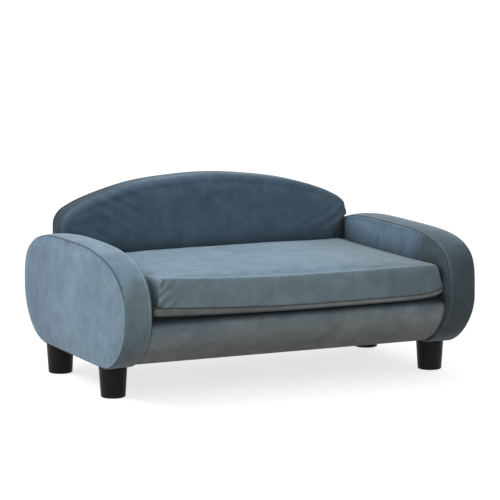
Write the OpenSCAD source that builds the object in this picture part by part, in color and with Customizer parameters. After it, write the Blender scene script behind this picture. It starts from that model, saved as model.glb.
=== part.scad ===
// Upholstered pet sofa: two slab arms on tapered legs, an arched back, a bull-nosed seat base
// and a loose boxed cushion. X runs along the width, the front faces -Y, Z is up and the floor
// is at zero. Soft pieces are closed skins of triangles made by formulas, the rest is exact.

/* [Overall] */
// Width over the seams of the two arms
sofa_w = 800; // [680:10:1100]
// Depth over the arms
sofa_d = 586; // [540:2:700]
// Height of the legs, and so of the arms' underside
leg_h = 63; // [40:1:120]

/* [Arms] */
// Thickness of an arm between its seams
arm_w = 60; // [56:1:80]
// Height of an arm above its underside
arm_h = 241; // [220:1:300]
// Height of the arm's widest level, and so of the seat deck, above the arm's underside
belly_h = 112; // [100:1:130]
// Length of the flat along the arm's underside
arm_flat_l = 336; // [300:2:380]
// Squareness of the outline above the widest level
arm_upper_power = 2.8; // [2:0.1:3.5]
// Squareness of the outline below the widest level
arm_lower_power = 1.6; // [1.4:0.1:2]
// Swell of the outer panel in its middle
outer_swell = 3; // [0:0.5:8]
// Swell of the inner panel above the seat
inner_swell = 3; // [0:0.5:3]

/* [Seat base] */
// Height of the base's underside above the arms' underside
base_lift = 4; // [2:0.5:10]
// Distance of the base's nose behind the front of the arms
nose_setback = 16; // [10:1:30]
// Radius of the nose's upper edge
nose_r = 18; // [14:1:24]

/* [Back] */
// Height of the arch above the arms' underside
back_h = 342; // [300:1:420]
// Thickness of the back
back_t = 71; // [66:1:90]
// Distance of the back's rear face in front of the rear of the arms
back_setback = 22; // [14:1:40]
// Radius of the arch
arch_r = 825; // [700:5:1200]
// Radius of the arch's two corners
arch_corner_r = 41; // [30:1:60]
// Radius of the roll along the front edge
back_roll_r = 22; // [12:1:26]
// Swell of the back's front in its middle
back_swell = 4; // [0:0.5:6]

/* [Cushion] */
// Height of the cushion's side
cushion_side_h = 70; // [56:1:90]
// Rise of the crown above the side
cushion_crown = 12; // [4:1:24]
// Gap between the cushion's seam and each arm
cushion_gap = 1; // [0.5:0.5:10]
// Gap between the cushion and the back
cushion_rear_gap = 10; // [9:0.5:16]
// Distance of the cushion's front corners behind the front of the arms
cushion_setback = 20; // [18:1:50]
// Distance by which the cushion's front bows out between its corners
front_bow = 6; // [0:0.5:14]
// Distance by which the cushion's ends are drawn in between their corners
end_pull = 6; // [4:0.5:10]
// Radius of the cushion's corners seen from above
cushion_corner_r = 34; // [24:1:50]
// Height of the seam above the bottom of the cushion
lip_h = 14; // [12:1:20]
// Height by which the front corners curl up
corner_curl = 8; // [0:1:12]

/* [Upholstery] */
// Thickness of the velvet with its backing
cover_t = 2; // [1.5:0.5:3]
// Thickness of the foam on an arm's sides
arm_foam_t = 8; // [6:1:9]
// Thickness of the foam round an arm's edge
band_foam_t = 8; // [5:1:12]
// Thickness of the foam over the nose
nose_foam_t = 12; // [8:1:16]
// Thickness of the dust cover
dust_t = 0.8; // [0.5:0.1:1.5]

/* [Frame] */
// Thickness of the arm's boards
arm_board_t = 6; // [5:0.5:7]
// Thickness of the rails and stretchers
rail_t = 18; // [15:1:22]
// Thickness of the deck board
deck_board_t = 9; // [6:1:12]
// Thickness of a nose former
former_t = 12; // [9:1:18]
// Number of nose formers along the front and along the rear
former_count = 5; // [3:1:7]
// Height of the arm's bottom block
block_h = 30; // [24:1:40]
// Length of the arm's bottom block beyond the axis of each leg
block_end = 17; // [14:1:30]
// Width of the wood of the arm's spacers
spacer_w = 22; // [16:1:30]
// Thickness of the back's ring frame
back_frame_t = 24; // [22:1:28]
// Width of the wood round the ring frame
back_frame_w = 34; // [30:1:45]
// Thickness of the back's front board
back_board_t = 6; // [4:0.5:9]

/* [Legs] */
// Radius of a leg at its top
leg_top_r = 29.5; // [22:0.5:30]
// Radius of a leg at the floor
leg_foot_r = 25.6; // [18:0.1:29]
// Radius of the rounded edge at the floor
leg_edge_r = 3; // [1:0.5:5]
// Distance between the front and rear legs
leg_spacing = 302; // [260:2:320]

/* [Fasteners] */
// Diameter of the bolts and studs
bolt_d = 8; // [6:0.5:9]
// Radius of a washer
washer_r = 10; // [8:0.5:12]
// Radius of a tee nut's flange
nut_flange_r = 11; // [8:0.5:12]
// Diameter of the frame screws
screw_d = 4; // [3:0.5:5]
// Length of the frame screws
screw_l = 45; // [35:1:60]
// Number of dust cover staples along each long side
staple_count = 9; // [5:1:14]

/* [Zip] */
// Distance from each end of the zip to the end of the cushion
zip_margin = 59; // [40:1:150]
// Height of the slit that the zip closes
zip_slit_h = 10; // [8:0.5:12]
// Height of the two rows of teeth together
zip_chain_h = 5; // [4:0.5:6]
// Thickness of the teeth
zip_chain_t = 2.4; // [1.8:0.1:3]
// Length of the slider
slider_l = 14; // [10:1:18]

/* [Hidden] */

// Clearances and small sizes
rest_gap = 0.3;
hole_clearance = 0.25;
thread_clearance = 0.1;
overrun = 1;
inset_least = 1;
round_sides = 48;
round_power = 2;

// Colours
velvet = "#71899B";
velvet_dark = "#51636F";
velvet_grey = "#5B6266";
leg_brown = "#2B2624";
wood = "#C9A777";
ply = "#D3B483";
foam = "#EBE3C9";
steel = "#9A9DA1";
cloth_black = "#1E1F21";

// Places along X
half_w = sofa_w / 2;
seat_half_w = half_w - arm_w;
arm_mid_x = half_w - arm_w / 2;
outer_foam_x = half_w - cover_t;
outer_board_x = outer_foam_x - arm_foam_t;
inner_foam_x = seat_half_w + cover_t;
inner_board_x = inner_foam_x + arm_foam_t;
cavity_low_x = inner_board_x + arm_board_t;
cavity_w = outer_board_x - arm_board_t - cavity_low_x;

// Places along Y
half_d = sofa_d / 2;
half_flat = arm_flat_l / 2;
nose_y = half_d - nose_setback;
back_rear_y = half_d - back_setback;
back_front_y = back_rear_y - back_t;
rail_inner_y = half_flat - rail_t;

// Heights above the arms' underside
deck_h = belly_h;
rail_low_z = base_lift + cover_t;
board_top_z = deck_h - cover_t;
rail_top_z = board_top_z - deck_board_t;
rail_h = rail_top_z - rail_low_z;

// Steps of the curves
upper_steps = 24;
lower_steps = 8;
roll_steps = 3;
side_steps = 4;
corner_steps = 4;
arch_steps = 14;
base_steps = 6;
straight_steps = 7;
edge_steps = 6;

// A power of the cosine or sine that squares the circle off
function squared(v, power) = sign(v) * pow(abs(v), 2 / power);

// Part of a squared circle round a centre [y, z], from one angle to another
function squared_arc(centre, radii, power, from, to, steps) = [
    for (i = [0 : steps]) let (a = from + (to - from) * i / steps)
        centre + [radii[0] * squared(cos(a), power), radii[1] * squared(sin(a), power)]
];

// A list without its last entry
function but_last(list) = [for (i = [0 : len(list) - 2]) list[i]];

// Outline of an arm seen from the side, drawn in by an inset
function arm_outline(inset) = let (corner = half_d - half_flat - inset, low = belly_h - inset) concat(
    but_last(squared_arc([0, belly_h], [half_d - inset, arm_h - belly_h - inset], arm_upper_power,
        0, 180, upper_steps)),
    squared_arc([-half_flat, belly_h], [corner, low], arm_lower_power, 180, 270, lower_steps),
    but_last(squared_arc([half_flat, belly_h], [corner, low], arm_lower_power, 270, 360, lower_steps))
);

// One end of the seat base's section: the rolled edge, then the curve down to the underside
function base_end(reach, inset, top_inset) = let (
    z = deck_h - nose_r,
    roll_z = max(nose_r - top_inset, inset_least), roll_y = max(nose_r - inset, inset_least))
    concat(
        but_last(squared_arc([nose_r - reach, z], [roll_y, roll_z], round_power, 90, 180, roll_steps)),
        squared_arc([-half_flat, z], [reach - half_flat - inset, z - base_lift - inset],
            arm_lower_power, 180, 270, lower_steps)
    );

// Section of the seat base, drawn in by one inset round its ends and another at its top
function base_section(inset, top_inset) = concat(
    base_end(nose_y, inset, top_inset),
    [for (p = reversed(base_end(back_rear_y, inset, top_inset))) [-p[0], p[1]]]
);
function reversed(list) = [for (i = [len(list) - 1 : -1 : 0]) list[i]];

// Outline of the back seen from the front, from its lower left corner clockwise
function back_outline(inset, low_z) = let (
    centre_z = back_h - arch_r, side = seat_half_w - inset, corner = max(arch_corner_r - inset, inset_least),
    corner_x = side - corner, corner_z = centre_z + sqrt(pow(arch_r - inset - corner, 2) - pow(corner_x, 2)),
    lean = atan2(corner_z - centre_z, corner_x))
    concat(
        [for (i = [0 : side_steps - 1]) [-side, low_z + (corner_z - low_z) * i / side_steps]],
        squared_arc([-corner_x, corner_z], [corner, corner], round_power, 180, 180 - lean, corner_steps),
        [for (i = [1 : arch_steps - 1]) let (a = 180 - lean - (180 - 2 * lean) * i / arch_steps)
            [(arch_r - inset) * cos(a), centre_z + (arch_r - inset) * sin(a)]],
        squared_arc([corner_x, corner_z], [corner, corner], round_power, lean, 0, corner_steps),
        [for (i = [side_steps - 1 : -1 : 0]) [side, low_z + (corner_z - low_z) * i / side_steps]],
        [for (i = [1 : base_steps - 1]) [side - 2 * side * i / base_steps, low_z]]
    );

// A closed skin of triangles through rings of as many points each, with a tip at either end
module closed_skin(first_tip, rings, last_tip) {
    count = len(rings[0]);
    last = len(rings) - 1;
    points = concat([first_tip], [for (ring = rings) for (p = ring) p], [last_tip]);
    polyhedron(points, concat(
        [for (i = [0 : count - 1]) [0, 1 + i, 1 + (i + 1) % count]],
        [for (r = [0 : last - 1]) for (i = [0 : count - 1])
            let (a = 1 + r * count + i, b = 1 + r * count + (i + 1) % count) each [
                [a, a + count, b + count], [a, b + count, b]]],
        [for (i = [0 : count - 1]) let (a = 1 + last * count)
            [len(points) - 1, a + (i + 1) % count, a + i]]
    ));
}

// A flat shape in Y and Z, drawn thick along X
module along_x(low_x, high_x) {
    translate([low_x, 0, 0]) rotate([90, 0, 90]) linear_extrude(high_x - low_x) children();
}

// A flat shape in X and Z, drawn thick along Y
module along_y(low_y, high_y) {
    translate([0, high_y, 0]) rotate([90, 0, 0]) linear_extrude(high_y - low_y) children();
}

// A rod along X, along Y or up from a place
module rod_x(r, l) { rotate([0, 90, 0]) cylinder(r = r, h = l, $fn = round_sides); }
module rod_y(r, l) { rotate([-90, 0, 0]) cylinder(r = r, h = l, $fn = round_sides); }
module rod_z(r, l) { cylinder(r = r, h = l, $fn = round_sides); }

// The model above the legs, and one side mirrored to the left
module raised() { translate([0, 0, leg_h]) children(); }
module left() { mirror([1, 0, 0]) children(); }

// Fasteners between the arms and the middle
arm_bolt_r = bolt_d / 2;
bolt_hole_r = arm_bolt_r + hole_clearance;
base_bolt_z = rail_low_z + rail_h / 2;
base_bolt_y_share = 0.55;
base_bolt_y = rail_inner_y * base_bolt_y_share;
back_frame_mid_y = back_rear_y - cover_t - back_frame_t / 2;
back_bolt_rise = 15;
back_bolt_z = deck_h + cover_t + back_frame_w + back_bolt_rise;
bolt_places = [[-base_bolt_y, base_bolt_z, rail_t], [base_bolt_y, base_bolt_z, rail_t],
    [back_frame_mid_y, back_bolt_z, back_frame_w + cover_t]];
washer_t = 1.6;
nut_flange_t = 1.6;
nut_barrel_wall = 1.6;
nut_barrel_r = arm_bolt_r + nut_barrel_wall;
nut_barrel_share = 0.8;
bolt_head_r_share = 0.9;
bolt_head_r = bolt_d * bolt_head_r_share;
bolt_head_h_share = 0.55;
bolt_head_h = bolt_d * bolt_head_h_share;
bolt_spare_l = 4;
nut_x = cavity_low_x;
bolt_end_x = nut_x + nut_flange_t + bolt_spare_l;

// One of each kind of fastener at a place [y, z, depth of the wood behind the seam plane]
module arm_bolt(place) {
    head_x = seat_half_w - place[2] - washer_t;
    translate([head_x, place[0], place[1]]) rod_x(arm_bolt_r, bolt_end_x - head_x);
    translate([head_x - bolt_head_h, place[0], place[1]]) rod_x(bolt_head_r, bolt_head_h);
}
module arm_bolt_washer(place) {
    translate([seat_half_w - place[2] - washer_t, place[0], place[1]]) difference() {
        rod_x(washer_r, washer_t);
        translate([-overrun, 0, 0]) rod_x(bolt_hole_r, washer_t + 2 * overrun);
    }
}
module arm_tee_nut(place) {
    barrel_l = arm_board_t * nut_barrel_share;
    translate([0, place[0], place[1]]) difference() {
        union() {
            translate([nut_x, 0, 0]) rod_x(nut_flange_r, nut_flange_t);
            translate([nut_x - barrel_l, 0, 0]) rod_x(nut_barrel_r, barrel_l + nut_flange_t / 2);
        }
        translate([nut_x - barrel_l - overrun, 0, 0])
            rod_x(arm_bolt_r + thread_clearance, barrel_l + nut_flange_t + 2 * overrun);
    }
}
module bolt_cuts(low_x, high_x, r) {
    for (place = bolt_places) translate([low_x - overrun, place[0], place[1]])
        rod_x(r, high_x - low_x + 2 * overrun);
}

module arm_bolts() {
    color(steel) raised() for (place = bolt_places) {
        arm_bolt(place);
        left() arm_bolt(place);
    }
}
module arm_bolt_washers() {
    color(steel) raised() for (place = bolt_places) {
        arm_bolt_washer(place);
        left() arm_bolt_washer(place);
    }
}
module arm_tee_nuts() {
    color(steel) raised() for (place = bolt_places) {
        arm_tee_nut(place);
        left() arm_tee_nut(place);
    }
}

// Legs, with their studs and tee nuts
leg_places = [[-1, -1], [1, -1], [-1, 1], [1, 1]];
stud_r = bolt_d / 2;
stud_socket_share = 0.4;
stud_socket_depth = leg_h * stud_socket_share;
stud_top_z = leg_h + cover_t + band_foam_t + block_h;
leg_nut_barrel_share = 0.4;
leg_nut_barrel_l = block_h * leg_nut_barrel_share;

module at_leg(side) { translate([side[0] * arm_mid_x, side[1] * leg_spacing / 2, 0]) children(); }

module leg(side) {
    slope_x = leg_foot_r + (leg_top_r - leg_foot_r) * leg_edge_r / leg_h;
    color(leg_brown) at_leg(side) difference() {
        rotate_extrude($fn = round_sides) polygon(concat(
            [[0, 0]],
            [for (i = [0 : edge_steps]) let (a = -90 + 90 * i / edge_steps)
                [slope_x - leg_edge_r + leg_edge_r * cos(a), leg_edge_r + leg_edge_r * sin(a)]],
            [[leg_top_r, leg_h], [0, leg_h]]
        ));
        translate([0, 0, leg_h - stud_socket_depth])
            rod_z(stud_r + thread_clearance, stud_socket_depth + overrun);
    }
}
module leg_studs() {
    color(steel) for (side = leg_places) at_leg(side)
        translate([0, 0, leg_h - stud_socket_depth]) rod_z(stud_r, stud_top_z + stud_socket_depth - leg_h);
}
module leg_tee_nuts() {
    color(steel) for (side = leg_places) at_leg(side) difference() {
        union() {
            translate([0, 0, stud_top_z]) rod_z(nut_flange_r, nut_flange_t);
            translate([0, 0, stud_top_z - leg_nut_barrel_l])
                rod_z(nut_barrel_r, leg_nut_barrel_l + nut_flange_t / 2);
        }
        translate([0, 0, stud_top_z - leg_nut_barrel_l - overrun])
            rod_z(stud_r + thread_clearance, leg_nut_barrel_l + nut_flange_t + 2 * overrun);
    }
}
// Holes for the studs of one arm, drawn on the right
module stud_cuts(low_z, high_z, r) {
    for (side = [-1, 1]) translate([arm_mid_x, side * leg_spacing / 2, low_z - overrun])
        rod_z(r, high_z - low_z + 2 * overrun);
}

// Arms, all drawn on the right
module arm_slab(low_x, high_x, inset) { along_x(low_x, high_x) polygon(arm_outline(inset)); }
module arm_ring(low_x, high_x, inset, width) {
    along_x(low_x, high_x) difference() {
        polygon(arm_outline(inset));
        polygon(arm_outline(inset + width));
    }
}
foam_inset = cover_t;
wood_inset = cover_t + band_foam_t;
wood_low_z = wood_inset;

module arm_outer_board() {
    color(ply) raised() arm_slab(outer_board_x - arm_board_t, outer_board_x, wood_inset);
}
module arm_inner_board() {
    color(ply) raised() difference() {
        arm_slab(inner_board_x, cavity_low_x, wood_inset);
        bolt_cuts(inner_board_x, cavity_low_x, nut_barrel_r + hole_clearance);
    }
}
// The block under both legs of an arm, inside the outline of the wood
module arm_bottom_block() {
    block_l = leg_spacing + 2 * block_end;
    color(wood) raised() difference() {
        intersection() {
            translate([cavity_low_x, -block_l / 2, wood_low_z]) cube([cavity_w, block_l, block_h]);
            arm_slab(cavity_low_x, cavity_low_x + cavity_w, wood_inset);
        }
        block_top_z = wood_low_z + block_h;
        stud_cuts(wood_low_z, block_top_z, stud_r + hole_clearance);
        stud_cuts(block_top_z - leg_nut_barrel_l, block_top_z, nut_barrel_r + hole_clearance);
    }
}
// Three curved spacers between the boards: front, top and rear
spacer_span_share = 0.3;
module arm_spacers() {
    spacer_span = arm_h * spacer_span_share;
    color(wood) raised() intersection() {
        arm_ring(cavity_low_x, cavity_low_x + cavity_w, wood_inset, spacer_w);
        union() {
            for (y = [-half_d, half_d - spacer_span]) translate([cavity_low_x, y, belly_h - spacer_span / 2])
                cube([cavity_w, spacer_span, spacer_span]);
            translate([cavity_low_x, -spacer_span, arm_h - spacer_span])
                cube([cavity_w, 2 * spacer_span, spacer_span]);
        }
    }
}
module arm_outer_foam() { color(foam) raised() arm_slab(outer_board_x, outer_foam_x, foam_inset); }
module arm_inner_foam() {
    color(foam) raised() difference() {
        arm_slab(inner_foam_x, inner_board_x, foam_inset);
        bolt_cuts(inner_foam_x, inner_board_x, bolt_hole_r);
    }
}
module arm_band_foam() {
    color(foam) raised() difference() {
        arm_ring(inner_board_x, outer_board_x, foam_inset, band_foam_t);
        stud_cuts(foam_inset, wood_inset, stud_r + hole_clearance);
    }
}
module arm_band_cover() {
    color(velvet_dark) raised() difference() {
        arm_ring(inner_foam_x, outer_foam_x, 0, cover_t);
        stud_cuts(0, cover_t, stud_r + hole_clearance);
    }
}

// The outer panel: flat on its foam, swelling outwards in its middle
panel_ring_shares = [0.4, 0.72, 0.92, 1];
panel_swell_power = 4;
module arm_outer_cover() {
    outline = arm_outline(0);
    centre = [0, belly_h];
    function face_x(share) = half_w + outer_swell * (1 - pow(share, panel_swell_power));
    face = [for (share = reversed(panel_ring_shares))
        [for (p = outline) let (q = centre + (p - centre) * share) [face_x(share), q[0], q[1]]]];
    flat = [for (p = outline) [outer_foam_x, p[0], p[1]]];
    color(velvet) raised()
        closed_skin([outer_foam_x, 0, belly_h], concat([flat], face), [half_w + outer_swell, 0, belly_h]);
}

// The inner panel: flat, with an oval puff above the seat and in front of the back
puff_reach_share = 0.88;
puff_ring_shares = [0.3, 0.6, 0.82, 0.95, 1];
puff_power = 2.5;
module arm_inner_puff() {
    middle = [(back_front_y - half_d) / 2, (deck_h + arm_h) / 2];
    reach = [back_front_y + half_d, arm_h - deck_h] * puff_reach_share / 2;
    rings = [for (share = reversed(puff_ring_shares)) [
        for (p = but_last(squared_arc(middle, reach * share, round_power, 0, 360, upper_steps)))
            [seat_half_w - inner_swell * (1 - pow(share, puff_power)), p[0], p[1]]]];
    edge = [for (p = rings[0]) [seat_half_w + cover_t / 2, p[1], p[2]]];
    closed_skin([seat_half_w - inner_swell, middle[0], middle[1]], reversed(concat([edge], rings)),
        [seat_half_w + cover_t / 2, middle[0], middle[1]]);
}
module arm_inner_cover() {
    color(velvet) raised() difference() {
        union() {
            arm_slab(seat_half_w, inner_foam_x, 0);
            arm_inner_puff();
        }
        bolt_cuts(seat_half_w, inner_foam_x, bolt_hole_r);
    }
}

// Seat base
stretcher_x_share = 0.36;
stretcher_x = seat_half_w * stretcher_x_share;
stretcher_h_share = 0.7;
stretcher_h = rail_h * stretcher_h_share;
corner_block_share = 2.2;
corner_block_w = rail_t * corner_block_share;
screw_r = screw_d / 2;
screw_head_r = screw_d;
screw_head_h_share = 0.6;
screw_head_h = screw_d * screw_head_h_share;

// Screws through a long rail into the stretchers and end rails, drawn for the front
screw_xs = [for (x = [stretcher_x, seat_half_w - rail_t / 2]) each [-x, x]];
screw_z_shares = [0.3, 0.7];
screw_zs = [for (share = screw_z_shares) rail_top_z - stretcher_h * share];
module frame_screw_shapes(extra) {
    for (x = screw_xs) for (z = screw_zs) translate([x, -half_flat, z]) {
        rod_y(screw_r + extra, screw_l + extra);
        rod_y(screw_head_r + extra, screw_head_h + extra);
    }
}
module frame_screws() {
    color(steel) raised() { frame_screw_shapes(0); mirror([0, 1, 0]) frame_screw_shapes(0); }
}
module screw_cuts() {
    translate([0, -thread_clearance, 0]) frame_screw_shapes(thread_clearance);
    mirror([0, 1, 0]) translate([0, -thread_clearance, 0]) frame_screw_shapes(thread_clearance);
}

// Staples that hold the dust cover, and the slots they need
staple_w = 10;
staple_leg_l = 6;
staple_wire = 0.9;
staple_y = half_flat - rail_t / 2;
staple_pitch = 2 * seat_half_w / (staple_count + 1);
module staple_shapes(extra) {
    for (i = [1 : staple_count]) for (side = [-1, 1])
        translate([-seat_half_w + i * staple_pitch, side * staple_y, base_lift - dust_t - staple_wire]) {
            for (end = [-1, 1]) translate([end * (staple_w - staple_wire) / 2 - staple_wire / 2 - extra,
                -staple_wire / 2 - extra, 0])
                cube([staple_wire + 2 * extra, staple_wire + 2 * extra, staple_leg_l + extra]);
            translate([-staple_w / 2, -staple_wire / 2, 0]) cube([staple_w, staple_wire, staple_wire]);
        }
}
module dust_cover_staples() { color(steel) raised() staple_shapes(0); }

module long_rail() {
    difference() {
        translate([-seat_half_w, -half_flat, rail_low_z]) cube([2 * seat_half_w, rail_t, rail_h]);
        screw_cuts();
        staple_shapes(thread_clearance);
    }
}
module front_rail() { color(wood) raised() long_rail(); }
module rear_rail() { color(wood) raised() mirror([0, 1, 0]) long_rail(); }
module end_rail() {
    color(wood) raised() difference() {
        translate([seat_half_w - rail_t, -rail_inner_y, rail_low_z])
            cube([rail_t, 2 * rail_inner_y, rail_h]);
        screw_cuts();
        bolt_cuts(seat_half_w - rail_t, seat_half_w, bolt_hole_r);
    }
}
module stretchers() {
    color(wood) raised() difference() {
        for (x = [-stretcher_x, stretcher_x])
            translate([x - rail_t / 2, -rail_inner_y, rail_top_z - stretcher_h])
                cube([rail_t, 2 * rail_inner_y, stretcher_h]);
        screw_cuts();
    }
}
module corner_blocks() {
    color(wood) raised() for (x = [0, 1]) for (y = [0, 1]) mirror([x, 0, 0]) mirror([0, y, 0])
        translate([seat_half_w - rail_t, rail_inner_y, rail_low_z]) linear_extrude(rail_h)
            polygon([[0, 0], [-corner_block_w, 0], [0, -corner_block_w]]);
}

// Nose formers: ribs between a long rail and the nose foam
module end_region(side) {
    translate([-half_w, side > 0 ? half_flat : -half_flat - sofa_d, -overrun])
        cube([sofa_w, sofa_d, deck_h + 2 * overrun]);
}
module former_set(side) {
    first_x = -seat_half_w;
    pitch = (2 * seat_half_w - former_t) / (former_count - 1);
    color(ply) raised() intersection() {
        for (i = [0 : former_count - 1]) along_x(first_x + i * pitch, first_x + i * pitch + former_t)
            polygon(base_section(cover_t + nose_foam_t, cover_t + deck_board_t));
        end_region(side);
    }
}
module front_formers() { former_set(-1); }
module rear_formers() { former_set(1); }
deck_front_y = nose_y - nose_r;
deck_rear_y = back_rear_y - nose_r;
module deck_board() {
    color(ply) raised() translate([-seat_half_w, -deck_front_y, rail_top_z])
        cube([2 * seat_half_w, deck_front_y + deck_rear_y, deck_board_t]);
}
module nose_foam(side) {
    color(foam) raised() intersection() {
        difference() {
            along_x(-seat_half_w, seat_half_w) difference() {
                polygon(base_section(cover_t, cover_t));
                polygon(base_section(cover_t + nose_foam_t, cover_t + deck_board_t));
            }
            translate([-half_w, -deck_front_y, rail_top_z - overrun])
                cube([sofa_w, deck_front_y + deck_rear_y, deck_board_t + 2 * overrun]);
        }
        end_region(side);
    }
}
module front_nose_foam() { nose_foam(-1); }
module rear_nose_foam() { nose_foam(1); }

// One cloth from the front of the underside, round the nose, over the deck and down the rear
turn_under_spare = 12;
module base_cover() {
    open_half = rail_inner_y - turn_under_spare;
    color(velvet_dark) raised() difference() {
        along_x(-seat_half_w, seat_half_w) difference() {
            polygon(base_section(0, 0));
            polygon(base_section(cover_t, cover_t));
        }
        translate([-half_w, -open_half, 0]) cube([sofa_w, 2 * open_half, rail_low_z + overrun]);
        staple_shapes(thread_clearance);
    }
}
dust_margin = 3;
module dust_cover() {
    half_y = half_flat - dust_margin;
    half_x = seat_half_w - dust_margin;
    color(cloth_black) raised() difference() {
        translate([-half_x, -half_y, base_lift - dust_t]) cube([2 * half_x, 2 * half_y, dust_t]);
        staple_shapes(thread_clearance);
    }
}

// Back: rings of its outline from the swelling front, round the roll, to the rear
back_mid_share = 0.5;
back_face_shares = [0.35, 0.7];
function back_rings(inset, rear_y) = let (
    low_z = deck_h + inset, front_y = back_front_y + inset, roll = back_roll_r,
    middle = [0, low_z + (back_h - deck_h) * back_mid_share],
    face = back_outline(inset + roll, low_z))
    concat(
        [for (share = back_face_shares) [for (p = face) let (q = middle + (p - middle) * share)
            [q[0], front_y - back_swell * (1 - pow(share, 2)), q[1]]]],
        [for (i = [0 : roll_steps]) let (a = 90 * i / roll_steps)
            [for (p = back_outline(inset + roll * (1 - sin(a)), low_z))
                [p[0], front_y + roll * (1 - cos(a)), p[1]]]],
        [[for (p = back_outline(inset, low_z)) [p[0], rear_y, p[1]]]]
    );
function back_tip(inset, y) = [0, y, deck_h + inset + (back_h - deck_h) * back_mid_share];

module back_bolt_cuts(depth) {
    for (side = [0, 1]) mirror([side, 0, 0])
        translate([seat_half_w - depth - overrun, back_frame_mid_y, back_bolt_z])
            rod_x(bolt_hole_r, depth + 2 * overrun);
}
module back_front_cover() {
    rear_y = back_rear_y - cover_t;
    color(velvet_dark) raised() difference() {
        closed_skin(back_tip(0, back_front_y - back_swell),
            concat(back_rings(0, rear_y), reversed(back_rings(cover_t, rear_y))),
            back_tip(cover_t, back_front_y + cover_t - back_swell));
        back_bolt_cuts(cover_t);
    }
}
foam_rear_y = back_rear_y - cover_t - back_frame_t - back_board_t;
module back_foam() {
    color(foam) raised() closed_skin(back_tip(cover_t, back_front_y + cover_t - back_swell),
        back_rings(cover_t, foam_rear_y), back_tip(cover_t, foam_rear_y));
}
module back_slab(low_y, high_y, inset) {
    along_y(low_y, high_y) polygon(back_outline(inset, deck_h + inset));
}
module back_board() { color(ply) raised() back_slab(foam_rear_y, foam_rear_y + back_board_t, cover_t); }
module back_frame() {
    low_y = foam_rear_y + back_board_t;
    high_y = back_rear_y - cover_t;
    color(wood) raised() difference() {
        back_slab(low_y, high_y, cover_t);
        back_slab(low_y - overrun, high_y + overrun, cover_t + back_frame_w);
        back_bolt_cuts(cover_t + back_frame_w);
    }
}
upright_x_share = 0.33;
module back_uprights() {
    color(wood) raised() intersection() {
        for (side = [-1, 1]) translate([side * seat_half_w * upright_x_share - back_frame_w / 2,
            foam_rear_y + back_board_t, deck_h]) cube([back_frame_w, back_frame_t, back_h]);
        back_slab(foam_rear_y, back_rear_y, cover_t + back_frame_w);
    }
}
module back_rear_cover() {
    color(velvet_dark) raised() back_slab(back_rear_y - cover_t, back_rear_y, 0);
}

// Cushion: rings of its plan from the underside, round the side, to the crown
cushion_half_w = seat_half_w - cushion_gap;
cushion_front_y = -half_d + cushion_setback;
cushion_rear_y = back_front_y - cushion_rear_gap;
cushion_depth = cushion_rear_y - cushion_front_y;
cushion_middle = [0, (cushion_front_y + cushion_rear_y) / 2];
cushion_z = leg_h + deck_h + rest_gap;
crown_z = cushion_side_h + cushion_crown;
rear_recess = 2;

// Levels as shares: height of the lip or of the side, then the insets of the ends and of the
// front and the corner's radius, all three of the largest corner radius
lip_level_shares = [[0, 0.3, 0.26, 0.5], [0.22, 0.06, 0.09, 0.3], [1, 0, 0, 0.2]];
side_level_shares = [[0.4, 0.07, 0, 0.4], [0.65, 0.13, 0.02, 0.6], [0.84, 0.2, 0.09, 0.8],
    [0.96, 0.3, 0.21, 0.95], [1, 0.45, 0.4, 1]];
crown_plan_shares = [0.82, 0.5];

// Plan of the cushion at a level, drawn in by a further inset, from its rear left corner
function cushion_plan(level, rear_inset, inset) = let (
    hw = cushion_half_w - level[1] * cushion_corner_r - inset,
    front = cushion_front_y + level[2] * cushion_corner_r + inset,
    rear = cushion_rear_y - rear_inset - inset,
    r = max(level[3] * cushion_corner_r - inset, inset_least),
    mid = (front + rear) / 2, hd = (rear - front) / 2,
    steps = [for (i = [1 : straight_steps - 1]) 2 * i / straight_steps - 1])
    concat(
        squared_arc([-hw + r, rear - r], [r, r], round_power, 90, 180, corner_steps),
        [for (s = steps) [-hw + end_pull * (1 - s * s), mid - s * (hd - r)]],
        squared_arc([-hw + r, front + r], [r, r], round_power, 180, 270, corner_steps),
        [for (s = steps) [s * (hw - r), front - front_bow * (1 - s * s)]],
        squared_arc([hw - r, front + r], [r, r], round_power, 270, 360, corner_steps),
        [for (s = steps) [hw - end_pull * (1 - s * s), mid + s * (hd - r)]],
        squared_arc([hw - r, rear - r], [r, r], round_power, 0, 90, corner_steps),
        [for (s = steps) [-s * (hw - r), rear]]
    );

// The front corners curl up, most at the bottom
curl_end_power = 10;
curl_front_power = 3;
function curl(p, z) = let (
    along = abs(p[0]) / cushion_half_w, forward = (cushion_rear_y - p[1]) / cushion_depth)
    corner_curl * pow(along, curl_end_power) * pow(max(0, forward), curl_front_power)
        * max(0, 1 - z / cushion_side_h);
function cushion_ring(level, rear_inset, inset, z) = [for (p = cushion_plan(level, rear_inset, inset))
    [p[0], p[1], z + curl(p, z)]];
function level_rear_inset(level) = max(level[2] * cushion_corner_r, rear_recess);
function cushion_tip(z) = [cushion_middle[0], cushion_middle[1], z];

// The side and the crown of one surface, from the seam up
function side_rings(inset) = [for (level = side_level_shares)
    cushion_ring(level, level_rear_inset(level), inset, level[0] * (cushion_side_h - inset))];
crown_power = 3;
function crown_rings(inset) = let (
    level = side_level_shares[len(side_level_shares) - 1],
    edge = cushion_plan(level, level_rear_inset(level), inset))
    [for (share = crown_plan_shares) [for (p = edge) let (q = cushion_middle + (p - cushion_middle) * share)
        [q[0], q[1], cushion_side_h - inset + cushion_crown * (1 - pow(share, crown_power))]]];
function upper_rings(inset) = concat(
    [cushion_ring(lip_level_shares[2], rear_recess, inset, lip_h)], side_rings(inset), crown_rings(inset));

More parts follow.
